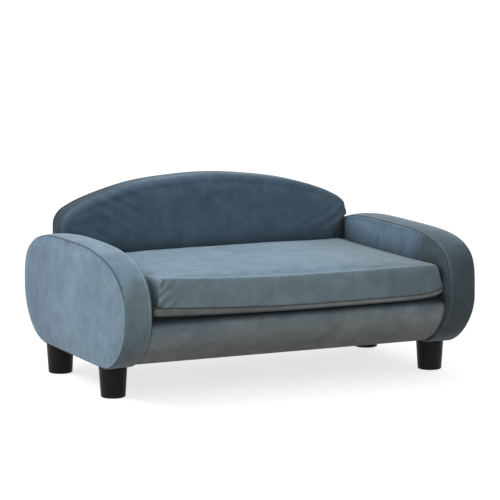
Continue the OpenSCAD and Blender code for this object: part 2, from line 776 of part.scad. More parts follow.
// Slit for the zip in the middle of the rear seam
zip_l = 2 * (cushion_half_w - zip_margin);
zip_wall_y = cushion_rear_y - rear_recess - cover_t / 2;
zip_low_z = lip_h - zip_slit_h / 2;
module zip_slit() {
    translate([-zip_l / 2, zip_wall_y - cover_t, zip_low_z]) cube([zip_l, 2 * cover_t, zip_slit_h]);
}
module on_deck() { translate([0, 0, cushion_z]) children(); }

module cushion_top_cover() {
    color(velvet) on_deck() difference() {
        closed_skin(cushion_tip(crown_z - cover_t), concat(reversed(upper_rings(cover_t)), upper_rings(0)),
            cushion_tip(crown_z));
        zip_slit();
    }
}
// The underside and the lip, up to just below the seam
seam_gap = 0.1;
module cushion_base_cover() {
    low = lip_level_shares[0];
    low_rear = level_rear_inset(low);
    top_z = lip_h - seam_gap;
    function lip_rings(inset) = concat([cushion_ring(low, low_rear, inset, inset)],
        [for (level = [lip_level_shares[1], lip_level_shares[2]])
            cushion_ring(level, rear_recess, inset, inset + level[0] * (top_z - inset))]);
    color(velvet_grey) on_deck() difference() {
        closed_skin(cushion_tip(0), concat(lip_rings(0), reversed(lip_rings(cover_t))),
            cushion_tip(cover_t));
        zip_slit();
    }
}
zip_room = 2.5;
module cushion_foam() {
    low = lip_level_shares[0];
    wall = side_level_shares[2];
    rings = concat(
        [cushion_ring(low, level_rear_inset(low), cover_t, cover_t)],
        [for (z = [lip_h, (cushion_side_h - cover_t - inset_least) * wall[0]])
            cushion_ring(wall, level_rear_inset(wall) + zip_room, cover_t, z)],
        crown_rings(cover_t + inset_least)
    );
    color(foam) on_deck()
        closed_skin(cushion_tip(cover_t), rings, cushion_tip(crown_z - cover_t - inset_least));
}

// Zip: two tapes, two rows of teeth, end stops and the slider
zip_tape_t = 0.8;
zip_row_gap = 1;
zip_web_t = 0.6;
zip_row_h = (zip_chain_h - zip_row_gap) / 2;
zip_stop_l = 4;
slider_plate_t = 1.2;
slider_spare_h = 4;
slider_h = zip_chain_h + slider_spare_h;
slider_web_share = 0.25;
module zip_bar(length, low_z, height, thickness, mid_x) {
    translate([mid_x - length / 2, zip_wall_y - thickness / 2, low_z]) cube([length, thickness, height]);
}
module zip_tapes() {
    tape_h = (zip_slit_h - zip_chain_h) / 2;
    color(cloth_black) on_deck() {
        zip_bar(zip_l, zip_low_z, tape_h, zip_tape_t, 0);
        zip_bar(zip_l, zip_low_z + zip_slit_h - tape_h, tape_h, zip_tape_t, 0);
    }
}
zip_row_l = zip_l - 2 * zip_stop_l;
module zip_teeth() {
    color(cloth_black) on_deck() for (low_z = [lip_h - zip_chain_h / 2, lip_h + zip_row_gap / 2])
        zip_bar(zip_row_l, low_z, zip_row_h, zip_chain_t, 0);
}
module zip_stops() {
    stop_x = (zip_l - zip_stop_l) / 2;
    color(steel) on_deck() for (x = [-stop_x, stop_x])
        zip_bar(zip_stop_l, lip_h - zip_chain_h / 2, zip_chain_h, zip_chain_t, x);
}
slider_x = (zip_row_l - slider_l) / 2 - rest_gap;
module zip_slider() {
    plate_y = zip_chain_t / 2 + rest_gap;
    color(steel) on_deck() translate([slider_x, zip_wall_y, lip_h]) {
        for (side = [0, 1]) mirror([0, side, 0]) translate([-slider_l / 2, plate_y, -slider_h / 2])
            cube([slider_l, slider_plate_t, slider_h]);
        translate([slider_l * slider_web_share, -plate_y - slider_plate_t / 2, -zip_web_t / 2])
            cube([slider_l * slider_web_share, 2 * plate_y + slider_plate_t, zip_web_t]);
    }
}

front_rail();
rear_rail();
left() end_rail();  // left_end_rail
end_rail();  // right_end_rail
stretchers();
corner_blocks();
front_formers();
rear_formers();
deck_board();
front_nose_foam();
rear_nose_foam();
base_cover();
frame_screws();
dust_cover();
dust_cover_staples();
left() arm_outer_board();  // left_arm_outer_board
arm_outer_board();  // right_arm_outer_board
left() arm_inner_board();  // left_arm_inner_board
arm_inner_board();  // right_arm_inner_board
left() arm_bottom_block();  // left_arm_bottom_block
arm_bottom_block();  // right_arm_bottom_block
left() arm_spacers();  // left_arm_spacers
arm_spacers();  // right_arm_spacers
left() arm_outer_foam();  // left_arm_outer_foam
arm_outer_foam();  // right_arm_outer_foam
left() arm_inner_foam();  // left_arm_inner_foam
arm_inner_foam();  // right_arm_inner_foam
left() arm_band_foam();  // left_arm_band_foam
arm_band_foam();  // right_arm_band_foam
left() arm_outer_cover();  // left_arm_outer_cover
arm_outer_cover();  // right_arm_outer_cover
left() arm_band_cover();  // left_arm_band_cover
arm_band_cover();  // right_arm_band_cover
left() arm_inner_cover();  // left_arm_inner_cover
arm_inner_cover();  // right_arm_inner_cover
arm_bolts();
arm_bolt_washers();
arm_tee_nuts();
back_frame();
back_uprights();
back_board();
back_foam();
back_front_cover();
back_rear_cover();
leg(leg_places[0]);  // front_left_leg
leg(leg_places[1]);  // front_right_leg
leg(leg_places[2]);  // rear_left_leg
leg(leg_places[3]);  // rear_right_leg
leg_studs();
leg_tee_nuts();
cushion_foam();
cushion_top_cover();
cushion_base_cover();
zip_tapes();
zip_teeth();
zip_stops();
zip_slider();
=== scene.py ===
"""Pet sofa bed in steel-blue velvet: two rounded slab arms, an arched back, a seat base with a
rolled nose, a loose boxed cushion and four tapered legs. Metres, +Z up, the front faces -Y."""
import math

import bmesh
import bpy
import numpy as np
from mathutils import Matrix, Vector, noise
from mathutils.geometry import delaunay_2d_cdt
from mathutils.kdtree import KDTree


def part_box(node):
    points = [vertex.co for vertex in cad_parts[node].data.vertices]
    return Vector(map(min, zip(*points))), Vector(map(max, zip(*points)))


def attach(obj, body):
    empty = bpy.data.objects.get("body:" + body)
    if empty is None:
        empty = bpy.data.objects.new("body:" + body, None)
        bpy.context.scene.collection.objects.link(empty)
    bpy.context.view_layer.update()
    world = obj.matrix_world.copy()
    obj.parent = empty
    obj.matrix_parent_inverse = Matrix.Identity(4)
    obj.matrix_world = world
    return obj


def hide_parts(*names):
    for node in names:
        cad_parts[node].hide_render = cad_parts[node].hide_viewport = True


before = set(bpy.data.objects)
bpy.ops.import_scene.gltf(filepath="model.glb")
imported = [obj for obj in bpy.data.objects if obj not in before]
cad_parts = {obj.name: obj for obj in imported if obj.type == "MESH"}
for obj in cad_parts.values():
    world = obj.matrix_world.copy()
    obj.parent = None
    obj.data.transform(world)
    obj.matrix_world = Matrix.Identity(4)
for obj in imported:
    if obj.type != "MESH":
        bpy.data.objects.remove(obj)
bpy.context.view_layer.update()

MM = 0.001
scene = bpy.context.scene

# Camera, fitted to the photograph's 500 x 500 frame
CAMERA_PLACE = Vector((-2.505, -5.443, 1.129))
CAMERA_LENS_MM = 202.6
CAMERA_YAW = math.radians(24.81)
CAMERA_PITCH = math.radians(8.228)
CAMERA_ROLL = math.radians(-0.11)

# Sizes that the frame gives
BASE_LOW, BASE_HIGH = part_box("base_cover")
SEAT_HALF_W, DECK_Z = BASE_HIGH.x, BASE_HIGH.z
COVER_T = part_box("back_rear_cover")[1].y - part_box("back_rear_cover")[0].y
BACK_REAR_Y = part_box("back_rear_cover")[1].y
BACK_TOP_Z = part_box("back_rear_cover")[1].z
OUTER_SEAM_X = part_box("right_arm_outer_cover")[0].x + COVER_T
ARM_LOW, ARM_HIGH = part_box("right_arm_band_cover")
HALF_D = ARM_HIGH.y
HALF_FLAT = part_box("rear_rail")[1].y
CUSHION_LOW, CUSHION_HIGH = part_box("cushion_top_cover")
CUSHION_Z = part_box("cushion_base_cover")[0].z
ZIP_LOW, ZIP_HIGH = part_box("zip_tapes")

# Forms of the arms. In a pair of places, a form begins at the first and is full at the second.
ARM_LOWER_POWER = 1.6
ARM_PROUD = 1.5 * MM
ARM_ROUND = 1.3
BAND_FULLNESS = 3 * MM
BAND_FULL_Z = (0.066, 0.10)
BAND_FREE_Z = (0.064, 0.075)
SEAM_CLEAR_Z = (0.20, 0.26)
INNER_ROOM = 12 * MM
# By side, -1 left and 1 right: how square the upper corner is at the front and at the rear, the lower
# corner the same, and how far the line reaches forward and back
OUTER_SHAPE = {-1: (2.6, 3.2, 1.82, 1.9, 1.0, 0.985), 1: (4.3, 3.4, 1.68, 1.62, 1.017, 1.0)}
INNER_SHAPE = {-1: (2.9, 2.8, 1.6, 1.6, 1.0, 1.0), 1: (3.6, 3.3, 1.6, 1.6, 1.0, 1.0)}
CORE_SHAPE = {-1: (2.6, 2.8, 1.6, 1.6, 1.0, 0.985), 1: (2.8, 2.8, 1.6, 1.6, 1.0, 1.0)}

# Folds beside the arms' seams: their width along the seam, the length of the patches that they come in,
# how rare the patches are, the folds' height, how far they reach, and the step to the patches' own noise
PANEL_PUCKERS = dict(fold_w=11 * MM, patch_w=0.12, rare=0.0, fold_h=0.9 * MM, reach=14 * MM, step=20)
BAND_PUCKERS = dict(fold_w=12 * MM, patch_w=0.10, rare=-0.1, fold_h=0.7 * MM, reach=12 * MM, step=30)
# Gathers along the arms' outer seams: the place along Y and the half width in metres, the depth in mm
GATHERS = [(0.032, 0.03, 3.6), (-0.19, 0.03, 0.6), (0.20, 0.03, 0.6)]

# Forms of the base and the back
NOSE_R = 18 * MM
ARCH_R = 825 * MM
ARCH_CORNER_R = 41 * MM
BACK_T = 71 * MM
BACK_ROLL_R = 14 * MM
BACK_SEAM_Y = BACK_REAR_Y - 10 * MM
BACK_CORNER_R = 3 * MM
BACK_FRONT_Y = BACK_REAR_Y - BACK_T
# The arch stands fuller than a circle at both shoulders. By side: how much, where that begins and is
# full, where it fades again, and the share of it that fades
SHOULDERS = {1: (5.5 * MM, (0.09, 0.26), (0.29, 0.345), 0.8),
             -1: (4 * MM, (0.05, 0.18), (0.28, 0.335), 1)}
SHOULDER_Z = (ARM_HIGH.z - 10 * MM, ARM_HIGH.z + 20 * MM)
# Its right end overhangs the arm
OVERHANG = 9 * MM
OVERHANG_X = (0.31, 0.345)
OVERHANG_Z = (ARM_HIGH.z - 45 * MM, ARM_HIGH.z - 35 * MM)

# Foams and boards under the covers
FOAM_T = 8 * MM
NOSE_FOAM_T = 12 * MM
DECK_BOARD_T = 9 * MM

# Form of the cushion
CUSHION_SIDE_H = 70 * MM
CUSHION_CROWN = 12 * MM
FRONT_BOW = 6 * MM
END_PULL = 6 * MM
LIP_H = 14 * MM
CORNER_CURL = 8 * MM
LEFT_LIFT = 14 * MM
TIP_LIFT = 6 * MM
LEFT_DRAW = 19 * MM
SEAM_SAG = 5 * MM
# Rows of height, inset of the front, of the left end and of the right end, and corner radius, in mm
CUSHION_SIDE = np.array([
    (0, 7, 10, 10, 10), (1, 4.5, 6, 6, 8), (3, 2.5, 4, 4, 7), (8, 0.8, 1.5, 1.5, 6),
    (12.8, 0.2, 0.5, 0.5, 6), (14, 1.6, 1.6, 1.6, 6), (15.2, 0.2, 0.5, 0.5, 6), (17, 0, 0.3, 0.8, 5),
    (24, 0, 1, 2.5, 5), (35, 0, 2, 6, 5), (48, 0.3, 3.5, 10, 5), (58, 0.8, 4.5, 13, 5),
    (64, 1.4, 5.5, 14.5, 6), (67.5, 2.4, 6.5, 15.5, 7), (69.3, 4.2, 8.5, 17, 9), (70, 7, 11, 19, 11)]) * MM
CUSHION_HALF_W = CUSHION_HIGH.x
CUSHION_FRONT_Y = CUSHION_LOW.y + FRONT_BOW
CUSHION_REAR_Y = CUSHION_HIGH.y
CUSHION_MIDDLE_Y = (CUSHION_FRONT_Y + CUSHION_REAR_Y) / 2
ZIP_HALF_L = ZIP_HIGH.x
ZIP_SLIT_H = ZIP_HIGH.z - ZIP_LOW.z

# Seams and meshes
GROOVE_R = 1.5 * MM
FOLD_SHADE_PER_M = 300
ARM_POINTS = 300
FILL_SPACING = 6 * MM
FOAM_SPACING = 25 * MM
SUBDIVIDED = 1
SEED_STEPS = (7.31, 3.17, 5.73)

# Cloth, about as heavy and stiff as backed velvet
SIM_FRAMES = 20
CLOTH = dict(quality=6, mass=0.3, tension_stiffness=25, compression_stiffness=25, shear_stiffness=12,
             bending_stiffness=0.4, use_pressure=True)


def linear(hex_colour):
    """The linear colour of an sRGB hex value."""
    def channel(value):
        return value / 12.92 if value <= 0.04045 else ((value + 0.055) / 1.055) ** 2.4
    digits = hex_colour.lstrip("#")
    return tuple(channel(int(digits[i:i + 2], 16) / 255) for i in (0, 2, 4)) + (1.0,)


# Plans and outlines, as arrays of points

def squared(value, power):
    """A sine or cosine that squares the circle off."""
    return math.copysign(abs(value) ** (2 / power), value)


def squared_arc(centre, radii, power, start, end, steps):
    """Part of a squared ellipse, with its angles in degrees."""
    turns = [math.radians(start + (end - start) * i / steps) for i in range(steps + 1)]
    return [(centre[0] + radii[0] * squared(math.cos(t), power),
             centre[1] + radii[1] * squared(math.sin(t), power)) for t in turns]


def even(points, count):
    """A closed line drawn again with evenly spaced points."""
    path = np.array(list(points) + [points[0]], float)
    reach = np.concatenate([[0], np.cumsum(np.linalg.norm(np.diff(path, axis=0), axis=1))])
    at = np.linspace(0, reach[-1], count, endpoint=False)
    return np.stack([np.interp(at, reach, path[:, k]) for k in range(path.shape[1])], 1)


def drawn_in(loop, distance):
    """A counterclockwise loop moved inwards by a distance, one for all points or one for each."""
    along = np.roll(loop, -1, 0) - np.roll(loop, 1, 0)
    along /= np.linalg.norm(along, axis=1)[:, None]
    outward = np.stack([along[:, 1], -along[:, 0]], 1)
    return loop - outward * np.reshape(distance, (-1, 1))


def inside(points, loop):
    """True for each point that a closed loop goes round."""
    found = np.zeros(len(points), bool)
    for a, b in zip(loop, np.roll(loop, -1, 0)):
        crosses = (a[1] > points[:, 1]) != (b[1] > points[:, 1])
        slope = (b[0] - a[0]) / (b[1] - a[1]) if b[1] != a[1] else 0
        found ^= crosses & (points[:, 0] < a[0] + (points[:, 1] - a[1]) * slope)
    return found


def filled(loop, spacing):
    """Points and triangles inside a loop: the loop's own points first, then a staggered grid."""
    low, high = loop.min(0), loop.max(0)
    row_h = spacing * math.sqrt(3) / 2
    edge_gap = spacing * 0.7
    grid = np.array([(low[0] + (i + (j % 2) / 2) * spacing, low[1] + (j + 0.5) * row_h)
                     for j in range(int((high[1] - low[1]) / row_h))
                     for i in range(int((high[0] - low[0]) / spacing) + 1)])
    points = np.concatenate([loop, grid[inside(grid, drawn_in(loop, edge_gap))]])
    edges = [(i, (i + 1) % len(loop)) for i in range(len(loop))]
    made = delaunay_2d_cdt([Vector(p) for p in points], edges, [], 1, 1e-7)
    source = [ids[0] for ids in made[3]]
    return points, [tuple(source[v] for v in face) for face in made[2]]


def nearest(points, loop):
    """Distance of each point from a loop, and the share of the way round of the nearest place."""
    gaps = np.linalg.norm(points[:, None, :] - loop[None, :, :], axis=2)
    return gaps.min(1), gaps.argmin(1) / len(loop)


def smooth(value, low, high):
    """0 below low, 1 above high, and smooth between."""
    t = np.clip((value - low) / (high - low), 0, 1)
    return t * t * (3 - 2 * t)


def fading(distance, reach):
    """1 at no distance, and less further off."""
    return np.exp(-distance / reach)


def bell(value, width):
    """1 at nought, and less to both sides of it."""
    return np.exp(-(value / width) ** 2)


def waves(way, period, shift=0.0):
    return np.sin(way / period * 2 * math.pi + shift)


def wander(points, size, seed, octaves=2):
    """Soft noise at points, about -1 to 1, with features of a size in metres."""
    shift = Vector([seed * step for step in SEED_STEPS])
    return np.array([noise.fractal(Vector(p) / size + shift, 1.0, 2.0, octaves) for p in points])


def on_cloth(along, across=0.0):
    """Points for noise that follows a seam."""
    return np.column_stack(np.broadcast_arrays(along, across, 0.0))


# Meshes

def piece_of(name, points, faces):
    """A smooth-shaded mesh object."""
    mesh = bpy.data.meshes.new(name)
    mesh.from_pydata([tuple(map(float, p)) for p in points], [], faces)
    mesh.validate()
    for polygon in mesh.polygons:
        polygon.use_smooth = True
    made = bpy.data.objects.new(name, mesh)
    scene.collection.objects.link(made)
    return made


def joined(rings, closed=True):
    """Points and quads between rings of as many points each."""
    count = len(rings[0])
    last = count if closed else count - 1
    faces = [(low + i, low + (i + 1) % count, low + count + (i + 1) % count, low + count + i)
             for low in range(0, (len(rings) - 1) * count, count) for i in range(last)]
    return np.concatenate(rings), faces


def capped(points, faces, ring, loop, spacing, place=np.array):
    """Fills a ring, by its number, or the last one for -1. loop is that ring in its own plane, and place
    takes the filling from there to where the ring is."""
    flat, triangles = filled(loop, spacing)
    count = len(loop)
    shift = len(points) - count
    start = ring * count if ring >= 0 else shift
    moved = [tuple(start + v if v < count else shift + v for v in face) for face in triangles]
    return np.concatenate([points, place(flat)[count:]]), faces + moved


def values_of(mesh, what):
    values = np.zeros(len(mesh.vertices) * 3)
    mesh.vertices.foreach_get(what, values)
    return values.reshape(-1, 3)


def coordinates(piece):
    return values_of(piece.data, "co")


def set_coordinates(piece, points):
    piece.data.vertices.foreach_set("co", np.asarray(points, np.float32).ravel())
    piece.data.update()


def facing(piece, direction):
    """Turns the faces over if they don't look along a direction on the whole."""
    total = sum((Vector(p.normal) * p.area for p in piece.data.polygons), Vector())
    if total.dot(Vector(direction)) < 0:
        piece.data.flip_normals()
    return piece


def closed_outward(piece):
    """Turns a closed mesh the right way out."""
    work = bmesh.new()
    work.from_mesh(piece.data)
    bmesh.ops.recalc_face_normals(work, faces=work.faces)
    work.to_mesh(piece.data)
    work.free()
    return piece


def applied(piece, kind, **settings):
    """Adds a modifier and makes its result the mesh itself."""
    modifier = piece.modifiers.new(kind.lower(), kind)
    for key, value in settings.items():
        setattr(modifier, key, value)
    graph = bpy.context.evaluated_depsgraph_get()
    graph.update()
    made = bpy.data.meshes.new_from_object(piece.evaluated_get(graph))
    old = piece.data
    piece.modifiers.clear()
    piece.data = made
    bpy.data.meshes.remove(old)
    made.name = piece.name
    return piece


def refined(piece):
    """Subdivides a piece, and gives its points and their normals."""
    applied(piece, "SUBSURF", levels=SUBDIVIDED)
    return coordinates(piece), values_of(piece.data, "normal")


def thick(piece, thickness=COVER_T * 0.8):
    """Gives a cloth skin its thickness, on the inside."""
    return applied(piece, "SOLIDIFY", thickness=thickness, offset=-1.0)


def distance_to_edge(piece, points):
    """Distance of each point from the piece's own open edge, its seam line."""
    mesh = piece.data
    used = np.bincount([corner.edge_index for corner in mesh.loops], minlength=len(mesh.edges))
    rim = sorted({v for edge, count in zip(mesh.edges, used) if count == 1 for v in edge.vertices})
    tree = KDTree(len(rim))
    for number, vertex in enumerate(rim):
        tree.insert(points[vertex], number)
    tree.balance()
    return np.array([tree.find(p)[2] for p in points])


def paint_shade_and_highlight(piece, strength=1.0, reach=2.2 * MM, folds=0.0, distance=None):
    """Keeps, for the material, how near each point is to a seam, as painted shade: 1 in it, 0 away from it.
    Folds, in metres, count too: their hollows as painted shade and their crests, below 0, as painted
    highlight."""
    if distance is None:
        distance = distance_to_edge(piece, coordinates(piece))
    near = np.clip(strength * bell(distance, reach) - folds * FOLD_SHADE_PER_M, -1, 1)
    layer = piece.data.attributes.new("seam", "FLOAT", "POINT")
    layer.data.foreach_set("value", near.astype(np.float32))


def drape_all(jobs):
    """Runs Cloth on several pieces at once: air behind them, seams held, and a cap on each move."""
    for piece, pins, pressure, growth, cap in jobs:
        group = piece.vertex_groups.new(name="seam")
        group.add([int(i) for i in pins], 1.0, "REPLACE")
        cloth = piece.modifiers.new("cloth", "CLOTH")
        for key, value in CLOTH.items():
            setattr(cloth.settings, key, value)
        cloth.settings.uniform_pressure_force = pressure
        cloth.settings.shrink_min = -growth
        cloth.settings.effector_weights.gravity = 0
        cloth.settings.vertex_group_mass = group.name
        cloth.collision_settings.use_collision = False
        cloth.point_cache.frame_end = SIM_FRAMES
    for number in range(1, SIM_FRAMES + 1):
        scene.frame_set(number)
    graph = bpy.context.evaluated_depsgraph_get()
    for piece, pins, pressure, growth, cap in jobs:
        rest, way = coordinates(piece), values_of(piece.data, "normal")
        move = values_of(piece.evaluated_get(graph).to_mesh(), "co") - rest
        inward = np.minimum((move * way).sum(1), 0)
        move -= way * inward[:, None]
        length = np.maximum(np.linalg.norm(move, axis=1), 1e-9)[:, None]
        piece.evaluated_get(graph).to_mesh_clear()
        piece.modifiers.clear()
        piece.vertex_groups.clear()
        set_coordinates(piece, rest + move * (cap * np.tanh(length / cap) / length))
    scene.frame_set(1)


# Materials

def add(tree, kind, inputs=None, **settings):
    """Adds a node, sets its settings, and sets or links its inputs."""
    made = tree.nodes.new("ShaderNode" + kind)
    for key, value in settings.items():
        setattr(made, key, value)
    for socket, value in (inputs or {}).items():
        if isinstance(value, bpy.types.NodeSocket):
            tree.links.new(value, made.inputs[socket])
        else:
            made.inputs[socket].default_value = value
    return made


def mixed(tree, share, first, second, **settings):
    """Mixes two colours, each a hex value or a socket."""
    first, second = (linear(c) if isinstance(c, str) else c for c in (first, second))
    return add(tree, "Mix", {0: share, 6: first, 7: second}, data_type="RGBA", **settings).outputs[2]


def worked(tree, operation, *values):
    return add(tree, "Math", dict(enumerate(values)), operation=operation).outputs[0]


def ranged(tree, value, low, high, to_low=0.0, to_high=1.0, **settings):
    return add(tree, "MapRange", {"Value": value, "From Min": low, "From Max": high, "To Min": to_low,
                                  "To Max": to_high}, **settings).outputs[0]


def noisy(tree, place, size_mm, detail=2.0, roughness=0.5, distortion=0.0):
    return add(tree, "TexNoise", {"Vector": place, "Scale": 1000 / size_mm, "Detail": detail,
                                  "Roughness": roughness, "Distortion": distortion}).outputs["Fac"]


def celled(tree, place, size_mm, randomness=1.0):
    return add(tree, "TexVoronoi", {"Vector": place, "Scale": 1000 / size_mm,
                                    "Randomness": randomness}).outputs["Distance"]


def banded(tree, place, size_mm, distortion, detail=2.0):
    """Diagonal bands, whose texture has one for each whole turn."""
    return add(tree, "TexWave", {"Vector": place, "Scale": 1000 / size_mm / 6.28, "Distortion": distortion,
                                 "Detail": detail}, bands_direction="DIAGONAL").outputs["Fac"]


def mapped(tree, place, **inputs):
    return add(tree, "Mapping", {"Vector": place, **inputs}).outputs[0]


def bumped(tree, height, strength, depth_mm):
    return add(tree, "Bump", {"Height": height, "Strength": strength, "Distance": depth_mm * MM}).outputs[0]


def material(name):
    """An empty material with the rest place of each point in metres."""
    made = bpy.data.materials.new(name)
    made.use_nodes = True
    made.node_tree.nodes.clear()
    return made, made.node_tree, add(made.node_tree, "TexCoord").outputs["Object"]


def finished(made, tree, colour, roughness, **more):
    """Ends a material with its shader."""
    shader = add(tree, "BsdfPrincipled", {"Base Color": colour, "Roughness": roughness, **more})
    add(tree, "OutputMaterial", {"Surface": shader.outputs[0]})
    return made


def two_tone(name, first, second, tint, roughness, relief=None, strength=0.0, depth_mm=0.0, stretch=None,
             **more):
    """A finish of two colours that a pattern mixes, and a pattern in relief. A pattern is its function,
    its size in mm and its further values. Roughness is one value, or two that the first pattern mixes."""
    made, tree, place = material(name)
    if stretch:
        place = mapped(tree, place, Scale=stretch)
    share = tint[0](tree, place, *tint[1:])
    if isinstance(roughness, tuple):
        roughness = ranged(tree, share, 0, 1, *roughness)
    if relief:
        height = share if relief == tint else relief[0](tree, place, *relief[1:])
        more["Normal"] = bumped(tree, height, strength, depth_mm)
    return finished(made, tree, mixed(tree, share, first, second), roughness, **more)


def zoned(tree, place, shade, axis, start, end, colour, wobble_mm):
    """Turns the nap to another colour from one place to another along an axis, with an uneven border."""
    border_mm, most = 1000 / 11, 0.85
    parts = add(tree, "SeparateXYZ", {0: place})
    uneven = noisy(tree, place, border_mm, 3.0, 0.6)
    moved = worked(tree, "MULTIPLY_ADD", uneven, 2 * wobble_mm * MM, -wobble_mm * MM)
    moved = worked(tree, "ADD", parts.outputs[axis], moved)
    share = ranged(tree, moved, start, end, to_high=most, interpolation_type="SMOOTHSTEP")
    return mixed(tree, share, shade, colour)


def tone_by_facing(tree, shade, axis, colour):
    """Mixes in another colour where the cloth faces along an axis: partly the nap's tone, and partly painted
    light and shade by which way a face turns to the light.
    """
    begins, full, most = 0.35, 0.95, 0.8
    parts = add(tree, "SeparateXYZ", {0: add(tree, "TexCoord").outputs["Normal"]})
    square_on = worked(tree, "ABSOLUTE", parts.outputs[axis])
    share = ranged(tree, square_on, begins, full, to_high=most, interpolation_type="SMOOTHSTEP")
    return mixed(tree, share, shade, colour)


def velvet(name, light, dark, front, seed, zones=(), turned=(), sheen=0.55, gap_mm=60):
    """Polyester velvet, cut pile on a woven back: matt, with a bright rim where it turns away and patches
    where the nap was brushed the other way. Painted shade darkens its seams and fold hollows, painted
    highlight lightens fold crests, and painted shade darkens it in tight gaps. A zone is an axis, the places
    where it begins and is full, a colour, and the unevenness of its border in mm."""
    made, tree, place = material(name)
    patch_mm, brush_mm, blotch_mm, pile_mm = 70, 16, 34, 1.6
    brushed_share, nap_reach = 0.55, 0.28
    nap_middle = 0.5 + 0.5 * brushed_share
    moved = mapped(tree, place, Location=(seed, seed * 2, seed * 3))
    patches = noisy(tree, moved, patch_mm, 3.0, 0.55, 0.5)
    brushed = noisy(tree, mapped(tree, moved, Scale=(1.0, 1.0, 0.55)), brush_mm, 4.0, 0.6, 0.8)
    blotches = noisy(tree, moved, blotch_mm, 2.5, 0.55, 0.6)
    pile = noisy(tree, moved, pile_mm, 2.0, 0.7)
    both = worked(tree, "MULTIPLY_ADD", brushed, brushed_share, patches)
    nap = ranged(tree, both, nap_middle - nap_reach, nap_middle + nap_reach)
    shade = tone_by_facing(tree, mixed(tree, nap, dark, light), "Y", front)
    for zone in zones:
        shade = zoned(tree, place, shade, *zone)
    for face in turned:
        shade = tone_by_facing(tree, shade, *face)
    # Painted shade in seams and fold hollows, and painted highlight on fold crests
    seam = add(tree, "Attribute", attribute_name="seam").outputs["Fac"]
    # Painted shade in tight gaps: ambient occlusion darkens the colour
    hidden = add(tree, "AmbientOcclusion", {"Distance": gap_mm * MM}, samples=6).outputs["AO"]
    grain = ranged(tree, pile, 0.3, 0.7, 0.93, 1.06)
    stroked = ranged(tree, blotches, 0.3, 0.7, 0.86, 1.15)
    painted_seam_shade = ranged(tree, seam, -1.0, 1.0, 1.7, 0.3)
    shaded = ranged(tree, hidden, 0.2, 0.75, 0.1)
    for factor in (stroked, painted_seam_shade, shaded):
        grain = worked(tree, "MULTIPLY", grain, factor)
    colour = mixed(tree, 1.0, shade, grain, blend_type="MULTIPLY")
    relief = worked(tree, "ADD", brushed, worked(tree, "MULTIPLY", pile, 0.5))
    return finished(made, tree, colour, 0.92, Normal=bumped(tree, relief, 0.35, 0.8), IOR=1.45, **{
        "Specular IOR Level": 0.15, "Sheen Weight": sheen, "Sheen Roughness": 0.42,
        "Sheen Tint": linear("#C9DCEA")})


# One velvet in a copy for each place, each of its own tones: partly the way its nap lies, and partly painted
# light and shade, lighter or darker as the light falls there
PANEL_VELVET = velvet("polyester velvet, nap up", "#7F95A4", "#6D8394", "#73878F", 1,
                      zones=[("Y", 0.0, 0.22, "#65798A", 40)])
# It turns darker and greyer over its front part
INNER_VELVET = velvet("polyester velvet, nap back", "#6F8799", "#5C7488", "#5A666C", 6,
                      zones=[("Y", -0.12, -0.185, "#434A4D", 30)])
# Painted shade: both bands turn darker and greyer towards the bottom
BAND_VELVET = velvet("polyester velvet, nap forward", "#798FA0", "#637A8B", "#6B7A80", 2,
                     zones=[("Z", 0.15, 0.08, "#656666", 15)])
# A darker copy for the right arm's band: painted shade, as the light falls off towards the right
RIGHT_BAND_VELVET = velvet("polyester velvet, shaded copy", "#53636E", "#404E58", "#444D52", 7,
                           zones=[("Z", 0.16, 0.10, "#4D4F51", 15)])
# Its ends are painted in nearly its light tone, as painted light, and it turns greyer towards the right
SEAT_VELVET = velvet("polyester velvet, nap down", "#7890A0", "#627A8A", "#73848C", 3,
                     zones=[("X", 0.08, 0.30, "#65737A", 50)], turned=[("X", "#7C90A0")], gap_mm=20)
# Painted shade: the base's cloth is painted nearly black under the cushion's lip, where no light comes, in a
# strip along the deck's front edge. Painted light makes its bottom lighter and warmer.
RAIL_VELVET = velvet("polyester velvet, nap down and grey", "#6E808B", "#5E6E77", "#919796", 8, sheen=0.25,
                     zones=[("Z", 0.12, 0.17, "#637582", 40), ("Z", 0.155, 0.171, "#090C0F", 2),
                            ("Y", BASE_LOW.y + 24 * MM, BASE_LOW.y + 44 * MM, "#5C6F7C", 3),
                            ("Z", 0.125, 0.085, "#95928E", 12)])
# A darker copy for the back, with less sheen: painted shade, with more painted shade towards its left end,
# and lighter towards its right end
BACK_VELVET = velvet("polyester velvet, nap shaded", "#586C7C", "#465968", "#5A6F80", 4, sheen=0.3,
                     zones=[("X", -0.10, -0.24, "#25303A", 40), ("X", 0.24, 0.33, "#6E7D82", 15),
                            ("Y", BACK_FRONT_Y + 26 * MM, BACK_FRONT_Y + 8 * MM, "#4F6374", 2)])
# Painted shade: where the lip faces up or down, and at its ends, it is painted nearly black
LIP_VELVET = velvet("polyester velvet, nap reversed", "#797F7E", "#686D6C", "#727574", 5,
                    zones=[("X", -0.15, 0.05, "#8A9192", 20), ("X", 0.15, 0.32, "#7F8686", 20)],
                    turned=[("Z", "#232524"), ("X", "#2A2B2A")])

# Flexible polyurethane foam, sliced: pale, matt and pitted with open cells
FOAM = two_tone("open cell polyurethane foam", "#EFE6C8", "#E2D6B2", (noisy, 40), 0.95,
                (celled, 2.5), 0.6, 0.6, **{"Specular IOR Level": 0.1})
# Injection moulded polypropylene, dark brown with a fine spark-eroded texture: a soft satin gloss
PLASTIC = two_tone("moulded polypropylene, spark-eroded satin", "#110E0B", "#1A1612", (noisy, 25),
                   (0.42, 0.55), (noisy, 0.8, 3.0), 0.15, 0.15, IOR=1.49, **{"Specular IOR Level": 0.14})
